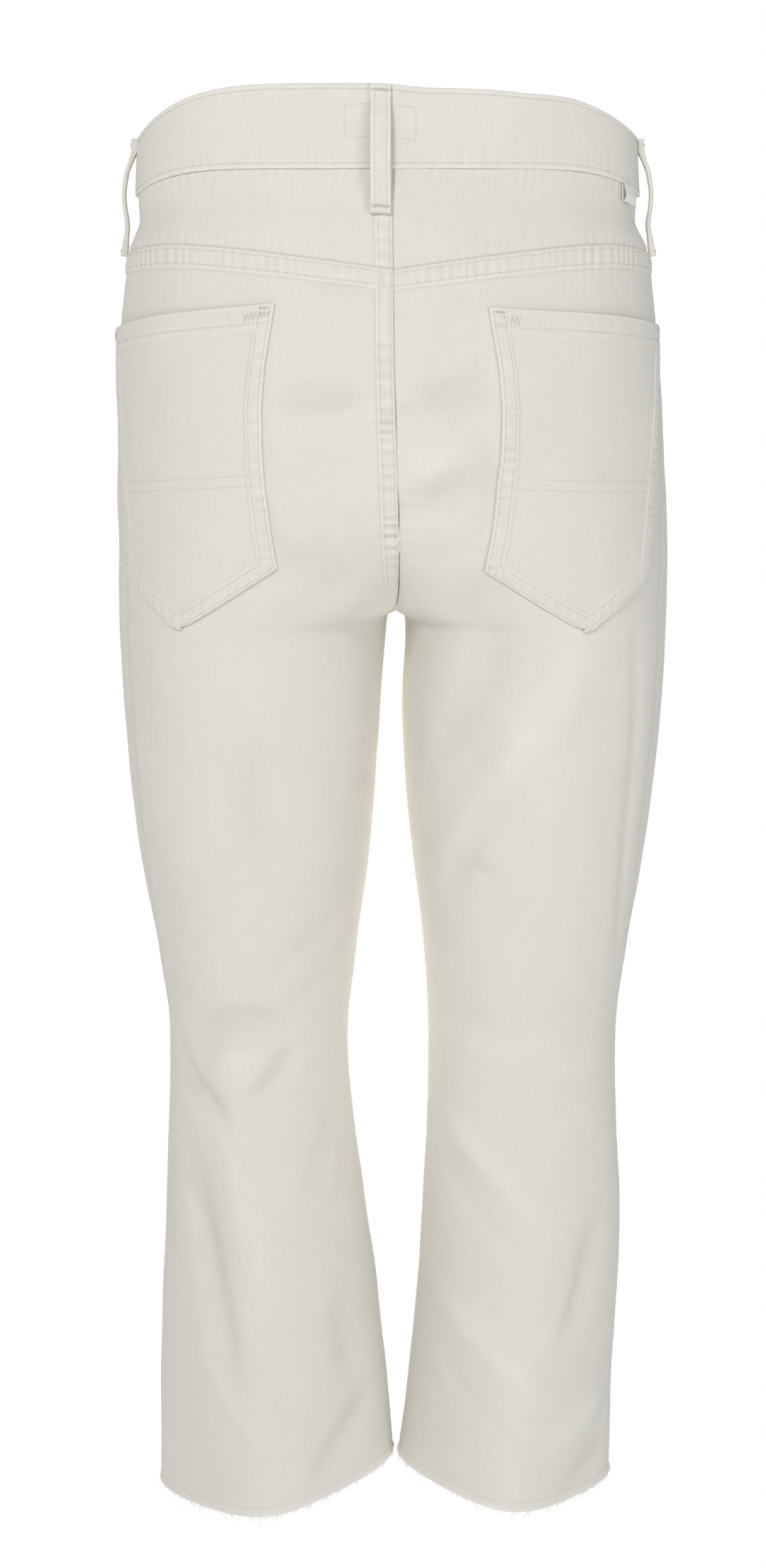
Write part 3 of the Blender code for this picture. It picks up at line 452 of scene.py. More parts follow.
def fold_height(side, level, angle):
    """Sum of the folds: height * exp(-(over / half_width)^2 - (2 along / length - 1)^4)."""
    across = (angle - np.pi / 2) * oval(side, level)[1]
    height = 0.0 * (level + angle)
    for of_side, level_0, across_0, level_1, across_1, half_width, most in FOLDS:
        if side * of_side < 0:
            continue
        run = np.array((level_1 - level_0, across_1 - across_0), float)
        length = np.hypot(*run)
        run /= length
        along = (level - level_0) * run[0] + (across - across_0) * run[1]
        over = (across - across_0) * run[0] - (level - level_0) * run[1]
        height += FOLD_GAIN * most * np.exp(-(over / half_width) ** 2
                                            - (2 * along / length - 1) ** 4)
    return height + crease_height(side, level, across)


def crease_height(side, level, across):
    """Sum of the creases: height * exp(-(d / half_width)^2), d the way to the nearest line.

    A crease is lower at both ends, by how far its nearest place lies along it.
    """
    height = 0.0 * across
    for of_side, half_width, most, *places in CREASES:
        if side * of_side < 0:
            continue
        places = np.array(places, float)
        near, where = np.full(across.shape, 1e9), np.zeros(across.shape)
        for k, (a, b) in enumerate(zip(places[:-1], places[1:])):
            run = b - a
            t = ((level - a[0]) * run[0] + (across - a[1]) * run[1]) / (run @ run)
            t = np.clip(t, 0.0, 1.0)
            away = np.hypot(level - a[0] - t * run[0], across - a[1] - t * run[1])
            where = np.where(away < near, (k + t) / (len(places) - 1), where)
            near = np.minimum(away, near)
        height += most * (1 - 0.6 * (2 * where - 1) ** 4) * np.exp(-(near / half_width) ** 2)
    return height


def slack(side, level, angle):
    """Slow unevenness of soft cloth: products of drifting sines, about 0.5 mm high."""
    across = (angle - np.pi / 2) * oval(side, level)[1]
    a = np.sin(level / 27 + 1.6 * np.sin(across / 41 + side)) * np.sin(across / 23 + 2 * side)
    b = np.sin(level / 11 + 1.3 * np.sin(across / 19)) * np.sin(across / 13 + level / 37 + side)
    return 0.45 * a + 0.16 * b


def cloth(side, level, angle, out):
    """Point on the folded cloth moved out along the form's normal."""
    out = out + fold_height(side, level, angle) + slack(side, level, angle)
    return form(side, level, angle) + outward(side, level, angle) * np.expand_dims(out, -1)


# ---------------------------------------------------------------- meshes
def add_piece(name, points, quads, mat, uv=None, triangles=None, sharp=50.0):
    """Mesh in metres from arrays of points (mm), quads and triangles; uv is per point, in mm."""
    triangles = np.zeros((0, 3), int) if triangles is None else triangles
    mesh = bpy.data.meshes.new(name)
    corners = np.concatenate((np.ravel(quads), np.ravel(triangles))).astype(np.int32)
    sizes = np.concatenate((np.full(len(quads), 4), np.full(len(triangles), 3)))
    starts = np.concatenate(([0], np.cumsum(sizes)[:-1])).astype(np.int32)
    mesh.vertices.add(len(points))
    mesh.vertices.foreach_set("co", (np.asarray(points, float) * MM).ravel())
    mesh.loops.add(len(corners))
    mesh.loops.foreach_set("vertex_index", corners)
    mesh.polygons.add(len(sizes))
    mesh.polygons.foreach_set("loop_start", starts)
    mesh.update(calc_edges=True)
    if uv is not None:
        layer = mesh.uv_layers.new(name="cloth")
        layer.data.foreach_set("uv", (np.asarray(uv, float)[corners] * MM).ravel())
    mesh.materials.append(mat)
    piece = bpy.data.objects.new(name, mesh)
    bpy.context.scene.collection.objects.link(piece)
    mesh.shade_smooth()
    mesh.set_sharp_from_angle(angle=np.radians(sharp))
    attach(piece, "root")
    return piece


def slab_faces(rows, columns, turn):
    """Quads of a closed wall between two grids of that shape, the inner one after the outer."""
    count = rows * columns
    index = np.arange(count).reshape(rows, columns)
    a, b = index[:-1, :-1].ravel(), index[:-1, 1:].ravel()
    c, d = index[1:, 1:].ravel(), index[1:, :-1].ravel()
    edge = np.concatenate((index[0, :], index[1:, -1], index[-1, -2::-1], index[-2:0:-1, 0]))
    after = np.roll(edge, -1)
    faces = np.concatenate((np.stack((a, d, c, b), 1), np.stack((a, b, c, d), 1) + count,
                            np.stack((edge, after, after + count, edge + count), 1)))
    return faces if turn > 0 else faces[:, ::-1]


def painted_shade_and_hem_lip(outer, inner, seams, raw):
    """Painted shade and light by how far each place stands up: 0.5 on level cloth, 1 on ridges, 0
    in hollows.

    Bend is the change of direction along each grid line over the length it takes, measured
    along the outward normal; the rise is 0.5 - 0.5 tanh(1.6 bend).  It falls to 0 at sewn
    edges (first row, last row, first column, last column) as painted shade along the seams,
    and grows at a raw last row, where the brushed raw edge is paler.
    """
    normal = np.cross(np.gradient(outer, axis=0), np.gradient(outer, axis=1))
    normal /= np.linalg.norm(normal, axis=-1, keepdims=True) + 1e-9
    normal *= np.sign(np.sum((outer - inner) * normal, -1, keepdims=True))
    bend = np.zeros(outer.shape[:2])
    far = []
    for axis in (0, 1):
        step = np.moveaxis(np.diff(outer, axis=axis), axis, 0)
        size = np.linalg.norm(step, axis=-1)
        unit = step / (size[..., None] + 1e-9)
        change = np.diff(unit, axis=0) / ((size[1:] + size[:-1]) / 2 + 0.05)[..., None]
        change = np.pad(change, ((1, 1), (0, 0), (0, 0)))
        bend += np.sum(np.moveaxis(change, 0, axis) * normal, -1)
        run = np.concatenate((np.zeros((1, size.shape[1])), np.cumsum(size, 0)))
        far += [np.moveaxis(run, 0, axis), np.moveaxis(run[-1] - run, 0, axis)]
    # painted shade in hollows, painted light on ridges
    rise = 0.5 - 0.5 * np.tanh(1.6 * bend)
    # painted shade along the sewn edges
    for sewn, run in zip(seams, far):
        rise *= 1 - 0.9 * sewn * np.exp(-(run / 0.8) ** 2)
    # the brushed raw hem's own paler colour
    return rise + (0.5 - 0.3 * rise) * raw * np.exp(-(far[1] / 3.0) ** 2)


def add_cloth(name, outer, inner, uv, mat, turn, seams=(0, 0, 0, 0), raw=0,
              folds=0.0, inside=0.0):
    """Wall of cloth between two grids, with its cloth map and what its colour follows.

    rise is how far a place stands up, in small by its bend and at large by its folds, and the
    colour shows it as painted shade in hollows and painted light on ridges; inside is 1 on the
    inner thighs, where painted light makes the cloth lighter and warmer.
    """
    points = np.concatenate((outer.reshape(-1, 3), inner.reshape(-1, 3)))
    uv = np.concatenate((uv.reshape(-1, 2), uv.reshape(-1, 2)))
    piece = add_piece(name, points, slab_faces(*outer.shape[:2], turn), mat, uv)
    # painted shade and light from the folds: troughs darker, crests lighter
    rise = painted_shade_and_hem_lip(outer, inner, seams, raw) + FOLD_PAINTED_SHADE * np.clip(folds, -4.0, 4.0)
    # rise carries painted shade and light; inside carries painted light on the inner thighs
    for kind, value in (("rise", rise), ("inside", inside + 0.0 * rise)):
        value = np.clip(value, 0.0, 1.0).ravel()
        layer = piece.data.attributes.new(kind, "FLOAT", "POINT")
        rest = 0.5 if kind == "rise" else 0.0
        value = np.concatenate((value, 0 * value + rest)).astype(np.float32)
        layer.data.foreach_set("value", value)
    return piece


def inner_thigh_painted_light(level, run):
    """Mask of painted light on the inner thighs: 1 along the inseam between crotch and knee,
    falling over 26 mm round the leg.
    """
    return np.exp(-(run / 26.0) ** 2) * fade(-level, 470.0, 760.0) * fade(level, -290.0, -235.0)


def threads(start, end, normal, heights, radius, sides=4):
    """Short closed tubes from start to end, bowed along the normal.

    Ring k of n lies at start + k / (n - 1) (end - start) + heights[k] normal, and its corners
    at radius (cos, sin) of even turns across the thread.
    """
    t = np.linspace(0.0, 1.0, len(heights))[None, :, None]
    along = unit(end - start)
    beside = unit(np.cross(along, normal))
    up = np.cross(along, beside)
    middle = (start[:, None] * (1 - t) + end[:, None] * t
              + normal[:, None] * np.asarray(heights, float)[None, :, None])
    turn = 2 * np.pi * (np.arange(sides) + 0.5) / sides
    ring = np.cos(turn)[:, None] * beside[:, None] + np.sin(turn)[:, None] * up[:, None]
    points = (middle[:, :, None] + radius * ring[:, None]).reshape(-1, 3)
    first = (np.arange(len(start)) * len(heights) * sides)[:, None, None]
    row = (np.arange(len(heights) - 1) * sides)[None, :, None]
    k = np.arange(sides)[None, None, :]
    a, b = first + row + k, first + row + (k + 1) % sides
    quads = np.stack((a, b, b + sides, a + sides), -1).reshape(-1, 4)
    far = (len(heights) - 1) * sides
    caps = np.concatenate(((first + k[..., ::-1])[:, 0], (first + far + k)[:, 0]))
    return points, quads, caps


class Sewing:
    """Threads on one piece of the garment, gathered into one mesh."""

    def __init__(self, name, seed):
        self.name, self.random = name, np.random.default_rng(seed)
        self.points, self.quads, self.caps, self.count = [], [], [], 0

    def lay(self, start, end, normal, heights, radius, sides=4):
        points, quads, caps = threads(start, end, normal, heights, radius, sides)
        self.points.append(points)
        self.quads.append(quads + self.count)
        self.caps.append(caps + self.count)
        self.count += len(points)

    def row(self, line, pitch=STITCH):
        """Running stitches along a line, given as a function from a lift to its points."""
        path = line(0.0).reshape(-1, 3)
        up = line(1.0).reshape(-1, 3) - path
        run = run_along(path)
        count = max(int(run[-1] / pitch), 2)
        shift = self.random.uniform(-0.05, 0.05, (2, count)) * pitch
        middle = (np.arange(count) + 0.5) * run[-1] / count + shift[0]

        def at(place, values):
            return np.stack([np.interp(place, run, values[:, k]) for k in range(3)], -1)

        start, end = at(middle - 0.41 * pitch, path), at(middle + 0.41 * pitch, path)
        normal = at(middle, up)
        beside = np.cross(end - start, normal)
        beside *= shift[1][:, None] / np.linalg.norm(beside, axis=-1, keepdims=True)
        self.lay(start + beside, end + beside, normal, STITCH_ARCH, THREAD)

    def bar(self, surface, first, last, low, high, count=20):
        """Zigzag bar: threads to and fro between low and high, stepping from first to last."""
        step = (last - first) / count
        place = first + step * np.arange(count)
        for begin, finish in ((low, high), (high, low)):
            wave = self.random.uniform(-0.06, 0.06, (2, count)) * (high - low)
            start = surface(place, begin + wave[0], 0.0)
            end = surface(place + step / 2, finish + wave[1], 0.0)
            normal = surface(place, (low + high) / 2 + 0 * place, 1.0)
            normal = normal - surface(place, (low + high) / 2 + 0 * place, 0.0)
            self.lay(start, end, normal, BAR_ARCH, 0.85 * THREAD)
            place = place + step / 2

    def finish(self, mat):
        caps = np.concatenate(self.caps)
        quads = np.concatenate(self.quads)
        four = caps.shape[1] == 4
        return add_piece(self.name, np.concatenate(self.points),
                         np.concatenate((quads, caps)) if four else quads, mat,
                         triangles=None if four else caps, sharp=180.0)


def stations(first, last, middle, crowd=0.0):
    """Places across a row as mm + share * width: listed ones at both ends, others between.

    Those between are even, or by t + crowd * sin(pi t) closer together towards the end.
    """
    t = np.linspace(0.0, 1.0, middle + 2)[1:-1]
    t = t + crowd * np.sin(np.pi * t)
    mm = np.concatenate((first, first[-1] - t * (first[-1] + last[-1]), -last[::-1]))
    share = np.concatenate((0 * first, t, 0 * last + 1))
    return mm, share


# ---------------------------------------------------------------- back legs and yokes
FELL_STATIONS = np.array([0.0, 0.35, 0.8, 1.4, 1.9, 2.4, 3.1, 4.2, 5.2, 6.2, 7.3, 8.1, 8.6,
                          9.1, 9.7, 10.2, 10.7, 11.2, 12.4])
EDGE_STATIONS = np.array([0.0, 0.5, 1.2, 2.4, 4.5])


def yoke_level(share):
    return YOKE_SIDE_LEVEL - YOKE_DROP * (1 - share) ** YOKE_CURVE


def fade_down(level, top):
    return np.clip((level - FLAT_LEVEL) / (top - FLAT_LEVEL), 0.0, 1.0)


def back_place(side, row, mm, share):
    """Level, angle, run from the inner edge and run to the side seam, for stations on rows."""
    measure = ROUNDS[side]
    top = yoke_level(0.0)
    width = measure.seam(row)[:, None]
    run = mm + share * width
    seam = yoke_level(run / width)
    level = row[:, None] + (seam - top) * fade_down(row, top)[:, None]
    width = measure.seam(level) - SEAM_GAP / 2
    run = mm + share * width
    return level, measure.angle_at(level, run), run, width - run


def back_relief(side, row, level, run, to_side):
    """Yoke seam's band along the top, the middle seam's band on the left half, edges."""
    below = yoke_level(0.0) - SEAM_GAP / 2 - row[:, None] + 0 * run
    out = felled(below, run + 40 * side, 1.0 + side, pucker=0.8) * fade(below, 30.0, 60.0)
    torso = fade(CROTCH_LEVEL + 34.0 - level, 0.0, 30.0)
    beyond_yoke = 1 - fade(below, FELL_WIDTH - 1.0, FELL_WIDTH + 1.0)
    if side > 0:
        seat = fade(np.abs(level + 158.0), 42.0, 70.0)
        middle = felled(run, level, 4.0, 7.2, 0.8 + 1.5 * seat) * fade(run, 30.0, 60.0)
        strong = 0.34 * ripple(level, 8.5, 6.0) * np.exp(-(run / 15.0) ** 2) * seat
        out = out + (middle + strong) * torso * beyond_yoke
    else:
        out = out + (plain_seam(run, level, 2.0)
                     + 0.22 * ripple(level, 8.5, 3.0) * np.exp(-(run / 11.0) ** 2)) * torso
        ribs = fade(to_side, 26.0, 44.0) * np.exp(-((below - FELL_WIDTH / 2) / 4.4) ** 4)
        out = out + 0.26 * ripple(run, 3.3, 8.0) * ribs
    out = out + plain_seam(run, level, 5.0) * (1 - torso) * off_crotch(level)
    return out + plain_seam(to_side, level, 7.0 + side)


def hem_relief(side, level):
    """Raw hem: a brushed lip that flares a little, above a shallow line."""
    up = level - HEM_LEVELS[side]
    return 0.9 * np.exp(-(up / 3.2) ** 2) - 0.35 * np.exp(-((up - 5.6) / 0.9) ** 2)


def back_points(side, row, mm, share, lift=0.0):
    level, angle, run, to_side = back_place(side, row, mm, share)
    out = back_relief(side, row, level, run, to_side) + hem_relief(side, level) + lift
    return cloth(side, level, angle, out), np.stack((side * run, level), -1)


def back_rows(side):
    """Rows close together through the seat, wider down the leg, close at the hem."""
    top = yoke_level(0.0) - SEAM_GAP / 2
    hem = HEM_LEVELS[side]
    seat = np.arange(top - 14.0, CROTCH_LEVEL + 20.0, -1.75)
    saddle = np.arange(seat[-1] - 1.7, CROTCH_LEVEL - 20.0, -2.4)
    leg = np.linspace(saddle[-1], hem + 9.0, 122)[1:]
    lip = hem + np.array([8.0, 7.0, 6.2, 5.6, 5.0, 4.2, 3.2, 2.2, 1.2, 0.5, 0.0])
    return np.concatenate((top - FELL_STATIONS, seat, saddle, leg, lip))


def make_back(name, side, mat):
    row = back_rows(side)
    mm, share = stations(FELL_STATIONS, EDGE_STATIONS, 140, 0.1)
    outer, uv = back_points(side, row, mm, share)
    inner, _ = back_points(side, row, mm, share, -WALL)
    level, angle, run, _ = back_place(side, row, mm, share)
    piece = add_cloth(f"back_{name}_cloth", outer, inner, uv, mat, -side, seams=(1, 0, 1, 1),
                      raw=1, folds=fold_height(side, level, angle), inside=inner_thigh_painted_light(level, run))
    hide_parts(f"back_{name}")


def yoke_points(side, part, mm, share, lift=0.0):
    """Yoke: part is 0 at the waistband seam and 1 at the yoke seam."""
    measure = ROUNDS[side]
    top = WAIST_LEVEL - SEAM_GAP / 2
    width = measure.seam(np.array([[-60.0]])) - SEAM_GAP / 2
    at = (mm + share * width) / width
    low = yoke_level(at) + SEAM_GAP / 2
    level = top + (low - top) * part[:, None]
    width = measure.seam(level) - SEAM_GAP / 2
    run = mm + share * width
    above = level - low
    below = top - level
    out = plain_seam(run, level, 3.0) + plain_seam(width - run, level, 5.0)
    out = out - 0.5 * np.exp(-above / 0.9)
    out = out + 0.22 * ripple(run + 40 * side, 6.4, 1.0 + side) * np.exp(-(above / 8.0) ** 2)
    out = out + 0.20 * ripple(run, 7.3, 4.0 + side) * np.exp(-(below / 9.0) ** 2) - 0.25
    if side > 0:
        out = out + felled(run, level, 2.0, 6.5) * fade(run, 20.0, 30.0) * 0.9
        out = out + 0.3 * fade(run, 0, 2)
    return cloth(side, level, measure.angle_at(level, run), out + lift), np.stack(
        (side * run, level), -1)


def make_yoke(name, side, mat):
    mm, share = stations(FELL_STATIONS, EDGE_STATIONS, 190)
    part = np.linspace(0.0, 1.0, 46)
    outer, uv = yoke_points(side, part, mm, share)
    inner, _ = yoke_points(side, part, mm, share, -WALL)
    piece = add_cloth(f"yoke_{name}_cloth", outer, inner, uv, mat, -side, seams=(1, 1, 1, 1))
    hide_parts(f"yoke_{name}")


# ---------------------------------------------------------------- front legs and facings
def scoop_drop(at):
    """How far the front's top edge lies below the waist seam; at is the share from the side."""
    return SCOOP_DEPTH * np.sqrt(np.clip(1 - (at / SCOOP_WIDTH) ** 2, 0.0, 1.0))


def front_place(side, row, at):
    """Level, angle, run from the side seam and run to the inner edge, for shares on rows."""
    measure = ROUNDS[side]
    top = WAIST_LEVEL - SEAM_GAP / 2
    level = row[:, None] - scoop_drop(at) * fade_down(row, top)[:, None]
    seam, whole = measure.seam(level) + SEAM_GAP / 2, measure.whole(level)
    run = (whole - seam) * at
    return level, measure.angle_at(level, seam + run), run, whole - seam - run


def front_points(side, row, at, lift=0.0):
    level, angle, run, to_inner = front_place(side, row, at)
    top = WAIST_LEVEL - SEAM_GAP / 2
    below = top - row[:, None] + 0 * run
    out = plain_seam(run, level, 4.0) + hem_relief(side, level)
    out = out + plain_seam(to_inner, level, 6.0) * off_crotch(level)
    mouth = fade(at, SCOOP_WIDTH - 0.02, SCOOP_WIDTH + 0.04)
    sewn = 0.30 * (groove(below, 2.2) + groove(below, 8.2)) + 0.5 * fade(below, 9.5, 11.0)
    out = out + mouth * (sewn + 0.25 * ripple(run, 7.0, 2.0) * np.exp(-(below / 9.0) ** 2))
    out = out + (1 - mouth) * 0.2 * ripple(run, 7.3, 4.0 + side) * np.exp(-(below / 9.0) ** 2)
    return cloth(side, level, angle, out + lift), np.stack((-side * run, level), -1)


def make_front(name, side, mat):
    hem = HEM_LEVELS[side]
    top = WAIST_LEVEL - SEAM_GAP / 2
    row = np.concatenate((top - np.arange(0.0, 14.0, 0.9),
                          np.linspace(top - 14.0, CROTCH_LEVEL, 78),
                          np.linspace(CROTCH_LEVEL, hem + 9.0, 130)[1:],
                          hem + np.array([7.0, 5.6, 4.2, 2.8, 1.4, 0.0])))
    turn = np.linspace(np.pi / 2, 0.0, 44)
    at = np.concatenate((SCOOP_WIDTH * np.cos(turn), np.linspace(SCOOP_WIDTH, 0.985, 30)[1:],
                         [0.988, 0.991, 0.994, 0.997, 1.0]))
    outer, uv = front_points(side, row, at)
    inner, _ = front_points(side, row, at, -WALL)
    level, angle, _, to_inner = front_place(side, row, at)
    piece = add_cloth(f"front_{name}_cloth", outer, inner, uv, mat, -side, seams=(0, 0, 1, 1),
                      raw=1, folds=fold_height(side, level, angle),
                      inside=inner_thigh_painted_light(level, to_inner))
    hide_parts(f"front_{name}")


def make_facing(name, side, mat):
    """Cloth behind a scoop's mouth, from under the side seam to well past the mouth's end."""
    measure = ROUNDS[side]
    top = WAIST_LEVEL - SEAM_GAP / 2
    level = np.linspace(top, WAIST_LEVEL - FACING_DEPTH, 30)[:, None] + np.zeros((1, 46))
    seam, whole = measure.seam(level), measure.whole(level)
    run = (whole - seam) * np.linspace(-0.022, 0.66, 46)
    angle = measure.angle_at(level, seam + run)
    piece = add_cloth(f"pocket_facing_{name}_cloth", cloth(side, level, angle, -WALL - 0.9),
                      cloth(side, level, angle, -2 * WALL - 0.9),
                      np.stack((-side * run, level), -1), mat, -side)
    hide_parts(f"pocket_facing_{name}")


# ---------------------------------------------------------------- waistband and belt loops
def ring(turn, height):
    """Waistband's own surface: turn from the middle of the back, height 0 to 1 up it.

    The back rises as 1 - |s'|^p, where s' is the sine counted from a peak that moves towards
    the wearer's left up the band, and still 1 at both sides.
    """
    side = np.where(np.sin(turn) >= 0.0, 1.0, -1.0)
    shift_inner = column("shift_inner", WAIST_LEVEL)
    shift_outer = column("shift_outer", WAIST_LEVEL)

    def size(key):
        low = WAIST_LEVEL + SEAM_GAP / 2 if key == "level" else column(key, WAIST_LEVEL)
        return low + (BAND_TOP[key] - low) * height

    s, c = np.sin(turn), np.cos(turn)
    half = size("outer") + side * (shift_outer - shift_inner) / 2
    reach = np.where(c > 0.0, size("back"), -size("front"))
    top_power = np.where(side > 0.0, BAND_TOP["power"][1.0], BAND_TOP["power"][-1.0])
    power = BACK_LIFT_POWER + (top_power - BACK_LIFT_POWER) * height
    peak = BAND_TOP["peak"] * height
    past = (s - peak) / (1 - peak * np.sign(s - peak))
    lift = np.where(c > 0.0, size("lift_back") * (1 - np.abs(past) ** power),
                    size("lift_front") * c ** 2)
    square = column("square", WAIST_LEVEL)
    x = (shift_inner + shift_outer) / 2 + half * s * (1 + square * c ** 2)
    y = reach * c * (1 + square * s ** 2)
    middle, near, far, deep = BAND_SAG
    sag = np.where(c > 0.0, deep * height * fade(np.abs(x - middle), near, far), 0.0)
    return np.stack(np.broadcast_arrays(x, y, size("level") + lift - sag), -1)


def band(turn, height, out):
    step = 0.002
    up = ring(turn, height + step) - ring(turn, height - step)
    around = ring(turn + step, height) - ring(turn - step, height)
    return ring(turn, height) + unit(np.cross(up, around)) * np.expand_dims(out, -1)


RING_TURNS = np.linspace(-2 * np.pi, 2 * np.pi, 2881)
RING_RUNS = run_along(ring(RING_TURNS, 0.5))
RING_RUNS -= np.interp(0.0, RING_TURNS, RING_RUNS)


def ring_run(turn):
    """Length round the waistband from the middle of the back, and ring_turn its reverse."""
    return np.interp(turn, RING_TURNS, RING_RUNS)


def ring_turn(run):
    return np.interp(run, RING_RUNS, RING_TURNS)


def band_tall(turn):
    return np.linalg.norm(ring(turn, 1.0) - ring(turn, 0.0), axis=-1)


def band_relief(turn, down, tall):
    """Stitched grooves near both edges, a rounded upper edge and puckers above the seam."""
    run = ring_run(turn)
    up = tall - down
    out = 0.22 * (groove(down, 3.4) + groove(up, 3.2))
    out = out - 1.1 * fallen(down, 1.6) - 0.7 * fallen(up, 1.2)
    out = out + 0.30 * ripple(run, 6.6, 1.7) * np.exp(-(up / 11.0) ** 2)
    out = out + 0.10 * ripple(run, 8.3, 5.2) * np.exp(-(down / 9.0) ** 2)
    return out + 0.35 * np.sin(run / 23 + np.sin(run / 61)) * np.sin(np.pi * down / tall)


def band_points(turn, down, lift=0.0, relief=1.0):
    """Point on the waistband, down mm below its upper edge, with the under end stepped in."""
    tall = band_tall(turn)
    run = ring_run(turn)
    lap = ring_run(-np.pi) + BAND_OVER
    t = np.clip((lap - run + BAND_STEP) / BAND_STEP, 0.0, 1.0)
    face = BAND_PROUD - (BAND_WALL + BAND_PROUD - 0.3) * t * t * (3 - 2 * t)
    out = face + relief * band_relief(turn, down, tall) + lift
    return band(turn, 1 - down / tall, out)


def make_waistband(mat):
    ends = ring_run([-np.pi, np.pi]) + np.array([-BAND_UNDER, BAND_OVER])
    turn = ring_turn(np.linspace(*ends, 440))
    tall = band_tall(turn)
    mm, share = stations(np.array([0.0, 0.15, 0.4, 0.8, 1.3, 1.9, 2.5, 3.0, 3.4, 3.8, 4.4, 5.4]),
                         np.array([0.0, 0.2, 0.5, 0.9, 1.6, 2.4, 2.8, 3.2, 3.6, 4.1, 5.0, 6.4]), 18)
    down = mm[:, None] + share[:, None] * tall
    turn = turn + 0.0 * down
    outer = band_points(turn, down)
    inner = band_points(turn, down, -BAND_WALL + 0.9 * fallen(down, 1.4), 0.0)
    run = ring_run(turn)
    piece = add_cloth("waistband_cloth", outer, inner, np.stack((-run, -down), -1), mat, -1,
                      seams=(0, 0, 0, 1))
    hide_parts("waistband")


def below_edge(turn, down, out):
    """Point that far down from the waistband's upper edge, over the band and the cloth."""
    tall = band_tall(turn)
    side = np.where(np.sin(turn) >= 0.0, 1.0, -1.0)
    angle = np.pi / 2 + np.abs(turn)
    level = np.minimum(WAIST_LEVEL - (down - tall), WAIST_LEVEL)
    low = np.where((side > 0)[..., None],
                   form(1.0, level, angle) + outward(1.0, level, angle) * out[..., None],
                   form(-1.0, level, angle) + outward(-1.0, level, angle) * out[..., None])
    return np.where((down < tall)[..., None], band(turn, np.clip(1 - down / tall, 0, 1), out), low)


def loop_profile(share):
    """A belt loop's stand-off and thickness at a share of its length."""
    shape = np.array(LOOP_SHAPE)
    fine = np.linspace(0.0, 1.0, 401)
    smooth = [smoothed(np.interp(fine, shape[:, 0], shape[:, k]), 29) for k in (1, 2)]
    return np.interp(share, fine, smooth[0]), np.interp(share, fine, smooth[1])


def loop_turn(place, share, across):
    """Turn round the waistband of a place on a loop, across -1 to 1."""
    middle = np.radians(place)
    speed = np.linalg.norm(ring(middle + 0.01, 0.5) - ring(middle - 0.01, 0.5)) / 0.02
    return middle + across * LOOP_WIDTH / 2 / speed + 0.0 * share


def loop_points(place, share, across, lift=0.0):
    """Belt loop: share along it, across -1 to 1; its face is crowned and its edges rounded."""
    turn = loop_turn(place, share, across)
    off, thick = loop_profile(share)
    mm = (1 - np.abs(across)) * LOOP_WIDTH / 2
    crown = 0.35 * (1 - across ** 2) - 0.25 * np.exp(-((mm - 2.6) / 0.6) ** 2)
    crown = crown - 0.8 * fallen(mm, 0.9)
    return below_edge(turn, 1.0 + LOOP_LENGTH * share, off + thick + crown + lift)


def make_belt_loop(name, place, mat):
    share = np.linspace(0.0, 1.0, 84)[:, None]
    across = np.array([-1, -0.97, -0.9, -0.8, -0.66, -0.57, -0.48, -0.3, 0,
                       0.3, 0.48, 0.57, 0.66, 0.8, 0.9, 0.97, 1])
    share = share + 0.0 * across
    outer = loop_points(place, share, across)
    off, _ = loop_profile(share)
    inner = below_edge(loop_turn(place, share, across), 1.0 + LOOP_LENGTH * share, off)
    uv = np.stack((across * LOOP_WIDTH / 2 + 0 * share, -LOOP_LENGTH * share), -1)
    piece = add_cloth(f"belt_loop_{name}_cloth", outer, inner, uv, mat, -1)
    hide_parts(f"belt_loop_{name}")


# ---------------------------------------------------------------- back pockets
def pocket_outline(down):
    cut = np.array(POCKET_CUT)
    return np.interp(down, cut[:, 0], cut[:, 1]), np.interp(down, cut[:, 0], cut[:, 2])


def pocket_depth(share):
    """Depth of the pocket at a share across it: straight edges down to its point."""
    tent = np.minimum(share / POCKET_POINT, (1 - share) / (1 - POCKET_POINT))
    return POCKET_CUT[-1][0] + POCKET_FOOT * tent


def foot_stretch(share):
    """How much longer the pocket's slanting foot is than its run across."""
    half = np.where(share < POCKET_POINT, POCKET_POINT, 1 - POCKET_POINT)
    return np.hypot(1.0, POCKET_FOOT / (half * POCKET_WIDE))


def mouth_gape(down, share):
    """How far the pocket's mouth stands off the leg: none from 45 mm down."""
    return 1.6 * np.clip(1 - down / 45.0, 0, 1) ** 2 * np.sin(np.pi * share ** 1.5)


def pocket_place(name, part, share):
    """Level, run past the pocket line, depth, and distances to the sides and foot."""
    start, mouth, drop = POCKET_PLACES[name]
    foot = pocket_depth(share)
    down = part * foot
    inner, outer = pocket_outline(down)
    past = start + inner + (outer - inner) * share
    level = mouth - drop * share - down
    to_foot = (foot - down) / foot_stretch(share)
    return level, past, down, (share * (outer - inner), (1 - share) * (outer - inner), to_foot)


